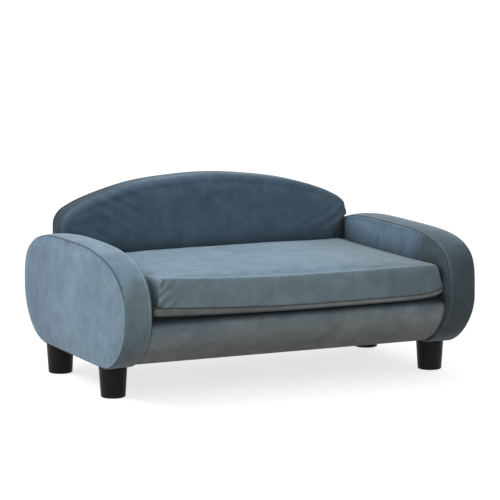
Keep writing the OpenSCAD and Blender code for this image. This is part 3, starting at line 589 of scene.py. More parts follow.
# Planed pine rail: straight grain of pale early wood and darker late wood, unfinished and dry
PINE = two_tone("planed pine, unfinished", "#D8B47F", "#B98A52", (banded, 4.5, 3.0, 3.0), 0.75,
                (banded, 4.5, 3.0, 3.0), 0.2, 0.2, stretch=(0.06, 1.0, 1.0))
# Birch plywood with a sanded face: pale, with faint figure and fine pores
PLYWOOD = two_tone("birch plywood, sanded", "#DFC294", "#C9A46C", (noisy, 100 / 3, 4.0, 0.5, 1.5), 0.7,
                   (noisy, 1.4), 0.2, 0.1, stretch=(0.15, 1.0, 1.0))
# Bright zinc on steel fasteners: a bluish, slightly cloudy metal
ZINC = two_tone("zinc plated steel", "#A9AEB4", "#C2C5C8", (noisy, 10 / 3, 3.0), (0.28, 0.45),
                Metallic=1.0)
# Spunbonded polypropylene dust cloth, black: matt felt of fine filaments with a grid of weld dots,
# drawn at twice their real spacing so that they show
DUST_CLOTH = two_tone("spunbonded polypropylene, black", "#17181A", "#2A2C2E", (noisy, 10 / 9, 4.0),
                      0.9, (celled, 3.0, 0.1), 0.5, 0.3)
# Polyester zip tape, woven in a fine herringbone
TAPE = two_tone("woven polyester tape", "#3E4C57", "#566875", (banded, 0.7, 0.4), 0.8,
                (banded, 0.7, 0.4), 0.4, 0.2)
# Dyed nylon zip coil: smooth filament with a soft gloss
NYLON = two_tone("dyed nylon filament", "#34424D", "#455562", (noisy, 5), 0.4, IOR=1.53)


def dressed(piece, finish, body, node):
    """Gives a piece its material and body, and hides the solid it stands for."""
    piece.data.materials.clear()
    piece.data.materials.append(finish)
    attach(piece, body)
    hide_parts(node)


# Arms

def arm_loop(shape):
    """Outline of an arm seen from its side, as Y and Z, counterclockwise from the rear."""
    upper_front, upper_rear, lower_front, lower_rear, forward, back = shape
    corner = (HALF_D - HALF_FLAT, DECK_Z - ARM_LOW.z)
    size = (HALF_D, ARM_HIGH.z - DECK_Z + ARM_PROUD)
    line = squared_arc((0, DECK_Z), size, upper_rear, 0, 90, 80)[:-1]
    line += squared_arc((0, DECK_Z), size, upper_front, 90, 180, 80)[:-1]
    line += squared_arc((-HALF_FLAT, DECK_Z), corner, lower_front, 180, 270, 50)
    line += squared_arc((HALF_FLAT, DECK_Z), corner, lower_rear, 270, 360, 50)[:-1]
    loop = even(line, ARM_POINTS)
    loop[:, 0] *= np.where(loop[:, 0] < 0, forward, back)
    return loop


INNER_LOOPS, OUTER_LOOPS, CORE_LOOPS = (
    {side: arm_loop(shape[side]) for side in (-1, 1)} for shape in (INNER_SHAPE, OUTER_SHAPE, CORE_SHAPE))


def groove(further, corner=True):
    """Profile of cloth from a seam, at a corner or on a flat: how far along it and how deep, so that both
    sides meet in it."""
    shift, first = (math.sqrt(2), -45) if corner else (0, 0)
    turns = np.radians(np.linspace(first, 90, 5))
    rows = [(GROOVE_R * (1 + shift - math.cos(t)), GROOVE_R * (1 - math.sin(t))) for t in turns]
    return np.array(rows + [(step, 0) for step in further])


def arm_panel(name, seam_x, outward, loop):
    """One sewn side of an arm before it is draped."""
    profile = groove((7 * MM, 11 * MM, 16 * MM))
    rings = [drawn_in(loop, step) for step in profile[:, 0]]
    points, faces = joined(rings)
    points, faces = capped(points, faces, -1, rings[-1], FILL_SPACING)
    deep = np.zeros(len(points))
    deep[:len(profile) * ARM_POINTS] = np.repeat(profile[:, 1], ARM_POINTS)
    return facing(piece_of(name, np.insert(points, 0, seam_x - outward * deep, 1), faces), (outward, 0, 0))


def puckers(along, distance, seed, fold_w, patch_w, rare, fold_h, reach, step):
    """Folds beside a seam, in patches along it."""
    folds = wander(on_cloth(along / fold_w, distance / (60 * MM)), 1.0, seed)
    where = smooth(wander(on_cloth(along / patch_w), 1.0, seed + step, 1), rare, 0.5)
    return fold_h * where * folds * fading(distance, reach) * smooth(distance, MM, 5 * MM)


def gathered(y, along, distance, seed):
    """Short folds across a seam, where its cloth was eased in."""
    fold_w, reach = 6.5 * MM, 11 * MM
    wave = waves(along, fold_w, 2 * wander(on_cloth(along), 0.03, seed, 1))
    depth = sum(deep * MM * bell(y - place, half) for place, half, deep in GATHERS)
    return -depth * (0.5 + 0.5 * wave) * fading(distance, reach) * smooth(distance, 0.5 * MM, 3 * MM)


def above_seat(flat):
    """1 where the inner side of an arm shows, and 0 behind the back and below the deck."""
    low, rear = DECK_Z + 2 * MM, -BACK_FRONT_Y + 2 * MM
    return smooth(flat[:, 1], low, low + INNER_ROOM) * smooth(-flat[:, 0], rear, rear + INNER_ROOM)


def panel_work(piece, seam_x, outward, loop, swell, seed, gather, room=None):
    """Softens a draped panel: a low swell, folds beside its seam and a slight unevenness.
    room says where it may stand proud of the seam's plane."""
    swell_reach, uneven = 22 * MM, 0.45 * MM
    points = refined(piece)[0]
    flat = points[:, 1:]
    distance, share = nearest(flat, loop)
    along = share * np.linalg.norm(loop - np.roll(loop, 1, 0), axis=1).sum()
    height = (points[:, 0] - seam_x) * outward
    folds = puckers(along, distance, seed, **PANEL_PUCKERS)
    if gather:
        folds = folds + gathered(flat[:, 0], along, distance, seed) * (flat[:, 1] > DECK_Z)
    added = swell * (1 - fading(distance, swell_reach)) + folds
    added = added + uneven * wander(points, 0.055, seed) * smooth(distance, 3 * MM, 25 * MM)
    space = room(flat) if room else 1
    proud = np.where(height > 0, height * space, height)
    points[:, 0] = seam_x + outward * (proud + added * np.where(added > 0, space, 1))
    set_coordinates(piece, points)
    crisp = 1.25 * smooth(flat[:, 1], *SEAM_CLEAR_Z) - 0.25 if gather else 0
    paint_shade_and_highlight(piece, crisp, folds=folds, distance=distance_to_edge(piece, points))


def arm_band(name, side, seed):
    """The strip round an arm's edge, a little fuller in the middle of its width."""
    width = OUTER_SEAM_X - SEAT_HALF_W
    uneven, rim_highlight_h, rim_place, rim_w = 0.5 * MM, 1.8 * MM, 4 * MM, 2.5 * MM
    edge = groove((6 * MM, 12 * MM))
    lines = [*edge, *((width * part, 0) for part in (0.37, 0.5, 0.63)),
             *((width - step, depth) for step, depth in edge[::-1])]
    first = edge[0, 0]
    rings = []
    for step, depth in lines:
        across = (step - first) / (width - 2 * first)
        loop = INNER_LOOPS[side] + (OUTER_LOOPS[side] - INNER_LOOPS[side]) * across
        fuller = BAND_FULLNESS * (1 - abs(2 * across - 1) ** 2.5) * smooth(loop[:, 1], *BAND_FULL_Z)
        rings.append(np.insert(drawn_in(loop, depth - fuller), 0, side * (SEAT_HALF_W + step), 1))
    made = piece_of(name, *joined(rings))
    points, way = refined(made)
    near = distance_to_edge(made, points)
    along = nearest(points[:, 1:], INNER_LOOPS[side])[1] * ARM_ROUND
    folds = puckers(along, near, seed, **BAND_PUCKERS)
    lift = folds + uneven * wander(points, 0.06, seed) * smooth(near, 3 * MM, 15 * MM)
    lift = lift * smooth(points[:, 2], *BAND_FREE_Z)
    out = 1 if (way[:, 1:] * (points[:, 1:] - np.array([0, DECK_Z]))).sum() > 0 else -1
    set_coordinates(made, points + way * (lift * out)[:, None])
    if out < 0:
        made.data.flip_normals()
    outer_half = smooth(np.abs(points[:, 0]), SEAT_HALF_W + 25 * MM, SEAT_HALF_W + 35 * MM)
    clear = outer_half * smooth(points[:, 2], *SEAM_CLEAR_Z) + 0.5 * (1 - outer_half)
    # A painted highlight along the inner seam, where the hem turns
    rim = rim_highlight_h * (1 - outer_half) * bell(near - rim_place, rim_w)
    paint_shade_and_highlight(made, clear, 2.6 * MM, folds + rim, near)
    return made


arms = []
for side_name, side in (("left", -1), ("right", 1)):
    outer = arm_panel(f"{side_name}_arm_outer_velvet", side * OUTER_SEAM_X, side, OUTER_LOOPS[side])
    inner = arm_panel(f"{side_name}_arm_inner_velvet", side * SEAT_HALF_W, -side, INNER_LOOPS[side])
    arms.append((side_name, side, outer, inner))


# Back

def back_loop(inset, low_z):
    """Outline of the back seen from the front, as X and Z, counterclockwise, always as many points."""
    side_steps, corner_steps, arch_steps, floor_steps = 24, 10, 86, 76
    centre_z = BACK_TOP_Z - ARCH_R
    reach = SEAT_HALF_W - inset
    corner = max(ARCH_CORNER_R - inset, 4 * MM)
    corner_x = reach - corner
    corner_z = centre_z + math.sqrt((ARCH_R - inset - corner) ** 2 - corner_x ** 2)
    lean = math.degrees(math.atan2(corner_z - centre_z, corner_x))
    right = [(reach, low_z + (corner_z - low_z) * i / side_steps) for i in range(side_steps)]
    right += squared_arc((corner_x, corner_z), (corner, corner), 2, 0, lean, corner_steps)
    radii = (ARCH_R - inset, ARCH_R - inset)
    arch = squared_arc((0, centre_z), radii, 2, lean, 180 - lean, arch_steps)[1:-1]
    left = [(-x, z) for x, z in reversed(right)]
    floor = [(-reach + 2 * reach * i / floor_steps, low_z) for i in range(1, floor_steps)]
    loop = np.array(right + arch + left + floor)
    x, z = loop.T
    up = sum(height * smooth(side * x, *rise) * (1 - share * smooth(side * x, *fall))
             for side, (height, rise, fall, share) in SHOULDERS.items())
    out = OVERHANG * smooth(x, *OVERHANG_X) * smooth(z, *OVERHANG_Z)
    return loop + np.column_stack([out, up * smooth(z, *SHOULDER_Z)])


def back_front(name):
    """The front, the roll along its edge and the top of the back, as one cloth, and its held points."""
    roll_steps = 7
    depth = BACK_REAR_Y - BACK_FRONT_Y - BACK_ROLL_R
    places = [(dip, BACK_SEAM_Y - along) for along, dip in groove((4 * MM, 8 * MM), corner=False)]
    places += [(0, BACK_REAR_Y - depth * share) for share in (0.42, 0.54, 0.66, 0.78, 0.9)]
    for i in range(roll_steps + 1):
        turn = math.radians(90 * i / roll_steps)
        places.append((BACK_ROLL_R * (1 - math.cos(turn)), BACK_FRONT_Y + BACK_ROLL_R * (1 - math.sin(turn))))
    rings = [np.insert(back_loop(inset, DECK_Z), 1, y, 1) for inset, y in places]
    points, faces = joined(rings)
    points, faces = capped(points, faces, -1, rings[-1][:, [0, 2]], FILL_SPACING,
                           lambda flat: np.insert(flat, 1, BACK_FRONT_Y, 1))
    made = piece_of(name, points, faces)
    pins = [i for i, p in enumerate(points) if p[2] < DECK_Z + MM] + list(range(len(rings[0])))
    return facing(made, (0, -1, 0)), pins


def between_arms(points):
    """Keeps the points that lie behind an arm's outline clear of the arm. Above it the back may overhang."""
    limit = SEAT_HALF_W - 0.4 * MM
    x, y, z = points.T
    behind = inside(points[:, 1:], drawn_in(INNER_LOOPS[1], -4 * MM))
    return np.column_stack([np.where(behind, np.clip(x, -limit, limit), x), y, z])


def back_work(piece):
    """Folds the back's cloth beside its rear seam and at its ends, and keeps it between the arms and off
    the cushion."""
    uneven, ripple_h, fold_h, fold_w = 0.7 * MM, 0.8 * MM, 1.3 * MM, 26 * MM
    points, way = refined(piece)
    x, y, z = points.T
    rear = BACK_SEAM_Y - y
    beside_seam = fading(rear, 12 * MM) * smooth(rear, MM, 5 * MM)
    lift = uneven * wander(points, 0.07, 14) * smooth(rear, 0, 20 * MM)
    lift = lift + ripple_h * wander(points * [1, 1, 0.4], 0.02, 15) * beside_seam
    drag = waves(z * 0.86 - np.abs(x) * 0.5, fold_w, 1.5 * wander(points, 0.12, 16, 1))
    corner = smooth(np.abs(x), 0.12, 0.24) * smooth(z, 0.25, 0.30)
    front = 1 - smooth(y, BACK_FRONT_Y + 6 * MM, BACK_FRONT_Y + 30 * MM)
    patchy = smooth(wander(points, 0.09, 18, 1), -0.25, 0.4)
    folds = fold_h * drag * corner * front * patchy
    free = smooth(z, DECK_Z + 4 * MM, DECK_Z + 25 * MM)
    points = between_arms(points + way * ((lift + folds) * free)[:, None])
    points[:, 1] = np.maximum(points[:, 1], BACK_FRONT_Y - 4.5 * MM)
    points[:, 2] = np.maximum(points[:, 2], DECK_Z + 0.1 * MM)
    set_coordinates(piece, points)
    far = np.where(points[:, 2] > DECK_Z + 5 * MM, distance_to_edge(piece, points), 1)
    paint_shade_and_highlight(piece, folds=0.4 * folds, distance=far)


def back_rear(name):
    """The rear cloth: over the rear edge from the seam, and stretched over the ring frame, so it dips a
    little inside it."""
    dip_h, uneven = 1.5 * MM, 0.4 * MM
    corner = (BACK_CORNER_R, BACK_CORNER_R)
    profile = [(dip, BACK_SEAM_Y + along) for along, dip in groove((4 * MM,), corner=False)]
    profile += squared_arc((BACK_CORNER_R, BACK_REAR_Y - BACK_CORNER_R), corner, 2, 180, 90, 3)
    profile += [(inset * MM, BACK_REAR_Y) for inset in (6, 10, 15)]
    rings = [back_loop(inset, DECK_Z + inset) for inset, y in profile]
    count = len(rings[0])
    points, faces = joined(rings)
    points, faces = capped(points, faces, -1, rings[-1], 1.5 * FILL_SPACING)
    distance = nearest(points, back_loop(0, DECK_Z))[0]
    ys = np.full(len(points), BACK_REAR_Y)
    ys[:len(profile) * count] = np.repeat([y for inset, y in profile], count)
    dip = dip_h * smooth(distance, 30 * MM, 55 * MM)
    dip = dip + uneven * wander(np.insert(points, 2, 0, 1), 0.08, 17) * smooth(distance, 0, 20 * MM)
    made = facing(piece_of(name, np.insert(points, 1, ys - dip, 1), faces), (0, 1, 0))
    points = between_arms(refined(made)[0])
    set_coordinates(made, points)
    paint_shade_and_highlight(made, distance=distance_to_edge(made, points))
    return made


# Cushion

def cushion_loop(height, inset=0.0):
    """Plan of the cushion at a height, as X and Y, counterclockwise from its right front corner."""
    front_in, left_in, right_in, r = (np.interp(height, CUSHION_SIDE[:, 0], column)
                                      for column in CUSHION_SIDE.T[1:])
    r = max(r - inset, 2 * MM)
    front, rear = CUSHION_FRONT_Y + front_in + inset, CUSHION_REAR_Y - front_in - inset
    left, right = CUSHION_HALF_W - left_in - inset, CUSHION_HALF_W - right_in - inset
    mid, reach = (front + rear) / 2, (rear - front) / 2
    end_steps, front_steps, corner_steps = 60, 100, 6
    at_end, at_front = ([2 * i / steps - 1 for i in range(1, steps)] for steps in (end_steps, front_steps))

    def corner(x, y, start):
        return squared_arc((x, y), (r, r), 2, start, start + 90, corner_steps)

    def across(s):
        return (right - left) / 2 + s * ((right + left) / 2 - r)
    line = corner(right - r, front + r, 270)
    line += [(right - END_PULL * (1 - s * s), mid + s * (reach - r)) for s in at_end]
    line += corner(right - r, rear - r, 0)
    line += [(across(-s), rear) for s in at_front]
    line += corner(r - left, rear - r, 90)
    line += [(END_PULL * (1 - s * s) - left, mid - s * (reach - r)) for s in at_end]
    line += corner(r - left, front + r, 180)
    line += [(across(s), front - FRONT_BOW * (1 - s * s)) for s in at_front]
    return np.array(line)


def curled(points):
    """Lifts the left front corner and draws it in, curls the lip up at the right one, and gives the
    heights above the floor."""
    def share(value, power):
        return np.clip(value, 0, 1.05) ** power
    x, y, z = points.T
    forward = share((CUSHION_REAR_Y - y) / (CUSHION_REAR_Y - CUSHION_FRONT_Y), 3)
    leftward = share((0.03 - x) / 0.36, 1.7)
    rightward = share(x / CUSHION_HALF_W, 10)
    low = np.clip(1 - z / LIP_H, 0, 1)
    gaining = 0.45 + 0.45 * smooth(z, 0, LIP_H) + 0.1 * z / CUSHION_SIDE_H
    tip = TIP_LIFT * share(x / CUSHION_HALF_W, 14) * bell(z - LIP_H, 15 * MM)
    lift = (LEFT_LIFT * leftward * gaining + CORNER_CURL * rightward * low + tip) * forward + CUSHION_Z
    end = smooth(-x, 0.20, CUSHION_HALF_W)
    over_lip = 0.3 + 0.7 * smooth(z, LIP_H - 5 * MM, LIP_H + 4 * MM)
    middle = (0.8 + 0.2 * smooth(x, -0.2, 0.05)) * (1 - smooth(x, 0.28, 0.335))
    sag = SEAM_SAG * bell(z - LIP_H, 9 * MM) * middle * forward
    return np.column_stack([x + LEFT_DRAW * end * forward * over_lip, y, z + lift - sag])


def crown(points):
    """Height of the cushion's top at points in plan."""
    loop = cushion_loop(CUSHION_SIDE_H)
    low, high = loop.min(0), loop.max(0)
    across, deep = np.abs((points - (low + high) / 2) / ((high - low) / 2)).T
    share = np.clip((across ** 4 + deep ** 4) ** 0.25, 0, 1)
    return CUSHION_SIDE_H + CUSHION_CROWN * (1 - share ** 3)


def zip_open(points, towards):
    """Moves the rear edge of a cover away from the seam where the zip is."""
    x, y, z = points.T
    rear = smooth(y, CUSHION_REAR_Y - 12 * MM, CUSHION_REAR_Y - 6 * MM)
    along = 1 - smooth(np.abs(x), ZIP_HALF_L, ZIP_HALF_L + 8 * MM)
    near = np.clip(1 - np.abs(z - LIP_H) / (8 * MM), 0, 1)
    return np.column_stack([x, y, z + towards * ZIP_SLIT_H / 2 * rear * along * near])


def cushion_cover(name, towards):
    """The cushion's cloth above its seam if towards is 1, or its lip and underside if it is -1. Its first
    or its last ring is the seam."""
    heights = [height for height in CUSHION_SIDE[:, 0] if (height - LIP_H) * towards >= 0]
    rings = [np.insert(cushion_loop(height), 2, height, 1) for height in heights]
    end, spacing, level = (-1, 1.3, crown) if towards > 0 else (0, 2.5, lambda flat: 0)
    points, faces = joined(rings)
    points, faces = capped(points, faces, end, rings[end][:, :2], spacing * FILL_SPACING,
                           lambda flat: np.insert(flat, 2, level(flat), 1))
    made = piece_of(name, curled(zip_open(points, towards)), faces)
    return facing(made, (0, 0, towards)), range(len(rings[0]))


def cushion_work(piece):
    """Creases the draped top at its left front corner and keeps it off the arms and the back."""
    uneven, crease_h, crease_w, ripple_h = 0.5 * MM, 3.2 * MM, 17 * MM, 0.9 * MM
    rim_highlight_h, shade_h = 2.5 * MM, 3 * MM
    points, way = refined(piece)
    x_way, y_way = np.abs(way[:, :2]).T
    above = points[:, 2] - CUSHION_Z - LIP_H
    off_seam = smooth(above, 2 * MM, 10 * MM)
    corner = points[:, 0] - points[:, 0].min()
    slant = above * 0.78 - corner * 0.62 + 0.006 * wander(points, 0.025, 22, 1)
    crease = waves(slant, crease_w) * fading(corner, 22 * MM) * (0.75 + 0.6 * wander(points, 0.03, 24, 1))
    ripple = wander(points * [0.25, 1, 1], 0.012, 23) * fading(corner, 90 * MM) * smooth(way[:, 2], 0.6, 0.95)
    near_front = fading(points[:, 1] - CUSHION_LOW.y, 40 * MM)
    folds = crease_h * crease * smooth(-way[:, 1], 0.5, 0.9) * off_seam + ripple_h * ripple * near_front
    lift = uneven * wander(points, 0.045, 21) * smooth(above, 3 * MM, 15 * MM)
    # A painted highlight along its vertical corners, and painted shade low on its end faces
    rim = (1 - np.maximum(x_way, y_way)) * smooth(x_way, 0.3, 0.6)
    rim = rim_highlight_h * rim / 0.3 * off_seam * (way[:, 2] < 0.5)
    end_face = smooth(-way[:, 0], 0.4, 0.8)
    rim = rim * (1 - end_face) - shade_h * end_face * (1 - smooth(above, 2 * MM, 50 * MM))
    points = points + way * (lift + folds)[:, None]
    limit = CUSHION_HALF_W - END_PULL * 0.5 * (1 - np.abs(points[:, 1] - CUSHION_MIDDLE_Y) / 0.23)
    points[:, 0] = np.clip(points[:, 0], -limit, limit)
    points[:, 1] = np.clip(points[:, 1], CUSHION_LOW.y - 3 * MM, CUSHION_REAR_Y)
    set_coordinates(piece, points)
    # Painted shade in the creases' hollows and painted highlight on their crests, two and a half times what
    # their depth gives
    paint_shade_and_highlight(piece, folds=2.5 * folds + rim, distance=distance_to_edge(piece, points))


back_panel, back_pins = back_front("back_front_velvet")
cushion_panel, cushion_pins = cushion_cover("cushion_top_velvet", 1)
drape_jobs = [(back_panel, back_pins, 3.0, 0.004, 4 * MM), (cushion_panel, cushion_pins, 3.0, 0.006, 4 * MM)]
for side_name, side, outer, inner in arms:
    drape_jobs.append((outer, range(ARM_POINTS), 2.0, 0.003, 3.5 * MM))
    drape_jobs.append((inner, range(ARM_POINTS), 2.0, 0.003, 3.0 * MM))
drape_all(drape_jobs)

for number, (side_name, side, outer, inner) in enumerate(arms):
    panel_work(outer, side * OUTER_SEAM_X, side, OUTER_LOOPS[side], 1.6 * MM, 3 + number, True)
    panel_work(inner, side * SEAT_HALF_W, -side, INNER_LOOPS[side], 1.5 * MM, 6 + number, False, above_seat)
    band = arm_band(f"{side_name}_arm_band_velvet", side, 9 + number)
    band_finish = BAND_VELVET if side < 0 else RIGHT_BAND_VELVET
    for made, finish, part in ((outer, PANEL_VELVET, "outer"), (inner, INNER_VELVET, "inner"),
                               (band, band_finish, "band")):
        dressed(thick(made), finish, "sofa", f"{side_name}_arm_{part}_cover")

back_work(back_panel)
dressed(thick(back_panel), BACK_VELVET, "sofa", "back_front_cover")
rear_panel = back_rear("back_rear_velvet")
dressed(thick(rear_panel), BACK_VELVET, "sofa", "back_rear_cover")

cushion_work(cushion_panel)
dressed(thick(cushion_panel), SEAT_VELVET, "cushion", "cushion_top_cover")
lip_panel = cushion_cover("cushion_base_velvet", -1)[0]
refined(lip_panel)
paint_shade_and_highlight(lip_panel)
dressed(thick(lip_panel), LIP_VELVET, "cushion", "cushion_base_cover")


# Seat base

def base_end(reach, inset, top_inset):
    """One end of the base's section, from the deck over the roll to the underside, as Y and Z."""
    round_power, roll_steps, lower_steps = 2, 10, 26
    z = DECK_Z - NOSE_R
    roll = (max(NOSE_R - inset, MM), max(NOSE_R - top_inset, MM))
    lower = (reach - HALF_FLAT - inset, z - BASE_LOW.z - inset)
    return (squared_arc((NOSE_R - reach, z), roll, round_power, 90, 180, roll_steps)[:-1]
            + squared_arc((-HALF_FLAT, z), lower, ARM_LOWER_POWER, 180, 270, lower_steps))


def base_velvet(name):
    """One cloth from under the front, round the nose, over the deck and down the rear."""
    lapped, closer_to_ends = 28 * MM, 1.15
    under = HALF_FLAT - abs(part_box("dust_cover")[0].y) + lapped
    deck_steps, across_steps = 56, 97
    uneven, crease_h, end_dip = 0.6 * MM, 1.1 * MM, 1.6 * MM
    front = base_end(-BASE_LOW.y, 0, 0)
    rear = [(-y, z) for y, z in base_end(BASE_HIGH.y, 0, 0)]
    span = rear[0][0] - front[0][0]
    section = np.array(
        [(-HALF_FLAT + under * share, BASE_LOW.z) for share in (1, 0.75, 0.5, 0.25)] + front[::-1]
        + [(front[0][0] + span * i / deck_steps, DECK_Z) for i in range(1, deck_steps)]
        + rear + [(HALF_FLAT - under * share, BASE_LOW.z) for share in (0.25, 0.5, 0.75, 1)])
    along = np.linspace(-1, 1, across_steps)
    xs = SEAT_HALF_W * np.sign(along) * (1 - (1 - np.abs(along)) ** closer_to_ends)
    points, faces = joined([np.insert(section, 0, x, 1) for x in xs], closed=False)
    made = facing(piece_of(name, points, faces), (0, 0, 1))
    points, way = refined(made)
    x, y, z = points.T
    end = SEAT_HALF_W - np.abs(x)
    deck = smooth(z, DECK_Z - 12 * MM, DECK_Z - 2 * MM)
    soft = uneven * wander(points * [0.5, 1, 1], 0.06, 31)
    creases = crease_h * wander(points * [1, 1, 1.6], 0.022, 33) * fading(end, 30 * MM)
    lift = (soft + creases) * (1 - deck) * smooth(end, 0, 6 * MM) - end_dip * bell(end, 5 * MM)
    below = smooth(z, BASE_LOW.z + 2 * MM, BASE_LOW.z + 10 * MM)
    points = points + way * (lift * below)[:, None]
    points[:, 2] = np.minimum(points[:, 2], DECK_Z)
    set_coordinates(made, points)
    return thick(made)


dressed(base_velvet("seat_base_velvet"), RAIL_VELVET, "sofa", "base_cover")


# Foam

def block_of(name, loop, core, low, high, place, edge=1.5 * MM):
    """A slice of foam from low to high, with softened edges: the loop, drawn in to its core at both ends."""
    levels = [(core, low), (loop, low + edge), (loop, high - edge), (core, high)]
    points, faces = joined([np.insert(ring, 2, level, 1) for ring, level in levels])
    for ring, level in ((0, low), (3, high)):
        points, faces = capped(points, faces, ring, core, FOAM_SPACING,
                               lambda flat: np.insert(flat, 2, level, 1))
    return closed_outward(piece_of(name, place(points), faces))


def foam_ring(name, side):
    """The foam round an arm's edge, between its two side foams."""
    gap = 0.2 * MM
    low, high = SEAT_HALF_W + COVER_T + FOAM_T + gap, OUTER_SEAM_X - COVER_T - FOAM_T - gap
    outer, inner = (drawn_in(CORE_LOOPS[side], inset) for inset in (COVER_T + MM, COVER_T + FOAM_T))
    points, faces = joined([np.insert(loop, 0, side * x, 1)
                            for x, loop in ((low, outer), (high, outer), (high, inner), (low, inner))])
    last = 3 * ARM_POINTS
    faces += [(last + i, last + (i + 1) % ARM_POINTS, (i + 1) % ARM_POINTS, i) for i in range(ARM_POINTS)]
    return closed_outward(piece_of(name, points, faces))


def nose_pad(name, sign, reach):
    """The foam over the front or the rear edge of the base, which is turned over at the rear."""
    end_gap, section_points = 2 * MM, 110
    half = SEAT_HALF_W - end_gap
    outer = base_end(reach, COVER_T + MM, COVER_T + MM)
    inner = base_end(reach, COVER_T + NOSE_FOAM_T, COVER_T + DECK_BOARD_T)
    section = even((outer + inner[::-1])[::-1], section_points)
    points, faces = joined([np.insert(section * [sign, 1], 0, x, 1) for x in (-half, half)])
    for ring, x in ((0, -half), (1, half)):
        points, faces = capped(points, faces, ring, section, FOAM_SPACING,
                               lambda flat: np.insert(flat * [sign, 1], 0, x, 1))
    return closed_outward(piece_of(name, points, faces))


def foams():
    """Each foam with the body it rides on and the solid it stands for."""
    inset = COVER_T + MM
    slabs = (("outer", OUTER_SEAM_X - COVER_T - FOAM_T, OUTER_SEAM_X - inset),
             ("inner", SEAT_HALF_W + inset, SEAT_HALF_W + COVER_T + FOAM_T))
    for side_name, side in (("left", -1), ("right", 1)):
        loop, core = (drawn_in(CORE_LOOPS[side], COVER_T + extra * MM) for extra in (2, 3.5))
        for part, low, high in slabs:
            name = f"{side_name}_arm_{part}"
            yield block_of(f"{name}_pad", loop, core, low, high, lambda p: np.column_stack(
                [side * p[:, 2], p[:, 0], p[:, 1]])), "sofa", f"{name}_foam"
        yield foam_ring(f"{side_name}_arm_band_pad", side), "sofa", f"{side_name}_arm_band_foam"
    outlines = []
    for inset_mm, up_mm in ((3, 1), (17, 6)):
        loop = back_loop(COVER_T + inset_mm * MM, DECK_Z + COVER_T + up_mm * MM)
        # only the cover overhangs the arm, and the foam ends beside it
        loop[:, 0] = np.minimum(loop[:, 0], SEAT_HALF_W - COVER_T - inset_mm * MM)
        outlines.append(loop)
    yield block_of("back_pad", *outlines, -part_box("back_foam")[1].y, -(BACK_FRONT_Y + COVER_T + 2 * MM),
                   lambda p: np.column_stack([p[:, 0], -p[:, 2], p[:, 1]]), edge=14 * MM), "sofa", "back_foam"
    wide, core = (cushion_loop(CUSHION_SIDE_H * 0.9, COVER_T + extra * MM) for extra in (7, 12))
    yield block_of("cushion_core", wide, core, COVER_T + MM, CUSHION_SIDE_H - COVER_T, curled,
                   edge=5 * MM), "cushion", "cushion_foam"
    for end, sign, reach in (("front", 1, -BASE_LOW.y), ("rear", -1, BASE_HIGH.y)):
        yield nose_pad(f"{end}_nose_pad", sign, reach), "sofa", f"{end}_nose_foam"


for made, body, node in foams():
    dressed(made, FOAM, body, node)


# Dust cover, stapled under the base

def dust_sheet(name):
    """The sheet, sagging a little between its staples, and its flat size."""
    columns, rows, thickness_share = 85, 43, 0.9
    sag_h, uneven = 1.2 * MM, 0.25 * MM
    low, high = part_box("dust_cover")
    xs, ys = np.linspace(low.x, high.x, columns), np.linspace(low.y, high.y, rows)
    points, faces = joined([np.column_stack([ys * 0 + x, ys, ys * 0]) for x in xs], closed=False)
    edge = np.minimum(high.x - np.abs(points[:, 0]), high.y - np.abs(points[:, 1]))
    sag = sag_h * smooth(edge, 15 * MM, 90 * MM)
    sag = sag + uneven * wander(points, 0.05, 41) * smooth(edge, 0, 15 * MM)
    points[:, 2] = low.z - np.maximum(sag, 0)
    made = facing(piece_of(name, points, faces), (0, 0, -1))
    return thick(made, (high.z - low.z) * thickness_share), (high.x - low.x, high.y - low.y)


def both(part):
    return [f"{side_name}_{part}" for side_name in ("left", "right")]


dust, dust_flat = dust_sheet("dust_cover_cloth")
dressed(dust, DUST_CLOTH, "sofa", "dust_cover")

# Carried-over solids and their finishes, with both sides' ends and arms by one name
CARRIED = [
    (PLASTIC, ["front_left_leg", "front_right_leg", "rear_left_leg", "rear_right_leg"]),
    (PINE, ["front_rail", "rear_rail", *both("end_rail"), "stretchers", "corner_blocks", "back_frame",
            *both("arm_bottom_block"), *both("arm_spacers"), "back_uprights"]),
    (PLYWOOD, ["front_formers", "rear_formers", "deck_board", *both("arm_outer_board"),
               *both("arm_inner_board"), "back_board"]),
    (ZINC, ["frame_screws", "dust_cover_staples", "arm_bolts", "arm_bolt_washers", "arm_tee_nuts",
            "leg_studs", "leg_tee_nuts", "zip_stops", "zip_slider"]),
    (TAPE, ["zip_tapes"]),
    (NYLON, ["zip_teeth"]),
]
for finish, names in CARRIED:
    for name in names:
        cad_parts[name].data.materials.clear()
        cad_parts[name].data.materials.append(finish)

# Floor, light and camera
FLOOR_HALF = 40.0
FLOOR_Z = -0.1 * MM


def white_to_camera(tree, plain, shown):
    """Mixes what scattered light meets with what the camera, gloss and glass see."""
    path = add(tree, "LightPath").outputs
    seen = worked(tree, "MAXIMUM", path["Is Camera Ray"], path["Is Glossy Ray"])
    seen = worked(tree, "MAXIMUM", seen, path["Is Transmission Ray"])
    return add(tree, "MixShader", {0: seen, 1: plain.outputs[0], 2: shown.outputs[0]}).outputs[0]


def floor():
    """A white floor that keeps a faint shadow of the sofa."""
    corners = ((-1, -1), (1, -1), (1, 1), (-1, 1))
    made = piece_of("floor", [(x * FLOOR_HALF, y * FLOOR_HALF, FLOOR_Z) for x, y in corners], [(0, 1, 2, 3)])
    paint, tree = material("matt white studio floor")[:2]
    plain = add(tree, "BsdfDiffuse", {"Color": linear("#A9A8A6")})
    lit = add(tree, "BsdfDiffuse", {"Color": linear("#B8B8B8")})
    glow = add(tree, "Emission", {"Color": linear("#FFFFFF"), "Strength": 0.72})
    shown = add(tree, "AddShader", {0: lit.outputs[0], 1: glow.outputs[0]})
    add(tree, "OutputMaterial", {"Surface": white_to_camera(tree, plain, shown)})
    made.data.materials.append(paint)


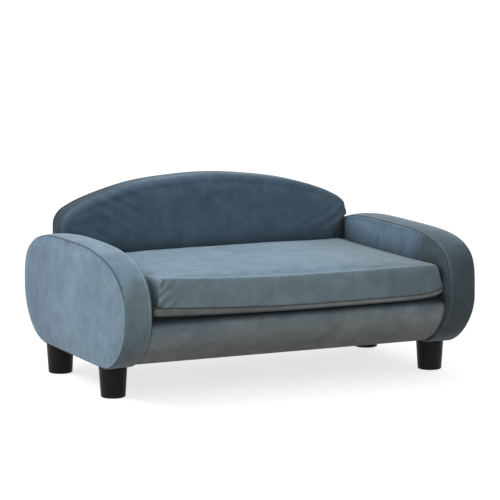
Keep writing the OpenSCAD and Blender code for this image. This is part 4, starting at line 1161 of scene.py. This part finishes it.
def lamp(name, kind, place, aim, energy, colour, **settings):
    """A sun, or a softbox that fades with distance, turned to a point."""
    data = bpy.data.lights.new(name, kind)
    data.energy = energy
    data.color = linear(colour)[:3]
    for key, value in settings.items():
        setattr(data, key, value)
    made = bpy.data.objects.new(name, data)
    made.location = place
    made.rotation_mode = "QUATERNION"
    made.rotation_quaternion = (Vector(aim) - Vector(place)).to_track_quat("-Z", "Y")
    made.visible_camera = False
    scene.collection.objects.link(made)


def sky():
    world = bpy.data.worlds.new("studio")
    scene.world = world
    world.use_nodes = True
    tree = world.node_tree
    tree.nodes.clear()
    plain = add(tree, "Background", {"Color": linear("#F4F2EE"), "Strength": 0.72})
    shown = add(tree, "Background", {"Color": linear("#FFFFFF"), "Strength": 1.0})
    add(tree, "OutputWorld", {"Surface": white_to_camera(tree, plain, shown)})


def camera():
    data = bpy.data.cameras.new("camera")
    data.sensor_width = 36
    data.lens = CAMERA_LENS_MM
    data.clip_end = 200
    made = bpy.data.objects.new("camera", data)
    scene.collection.objects.link(made)
    level = math.cos(CAMERA_PITCH)
    ahead = Vector((math.sin(CAMERA_YAW) * level, math.cos(CAMERA_YAW) * level, -math.sin(CAMERA_PITCH)))
    right = Vector((math.cos(CAMERA_YAW), -math.sin(CAMERA_YAW), 0))
    up = right.cross(ahead)
    c, s = math.cos(CAMERA_ROLL), math.sin(CAMERA_ROLL)
    right, up = c * right + s * up, -s * right + c * up
    turn = Matrix((right, up, -ahead)).transposed()
    made.matrix_world = Matrix.Translation(CAMERA_PLACE) @ turn.to_4x4()
    scene.camera = made


floor()
sky()
lamp("key", "AREA", (-1.9, 0.5, 1.9), (-0.1, 0, 0.2), 30, "#F3F8FF", shape="DISK", size=1.2)
lamp("front", "SUN", (-0.3, -1.0, 0.45), (0, 0, 0), 0.45, "#FFFFFF", angle=math.radians(60))
lamp("fill", "SUN", (0.35, 0.6, 0.5), (0, 0, 0), 0.5, "#FFF8F0", angle=math.radians(60))
camera()
scene.view_settings.view_transform = "Standard"
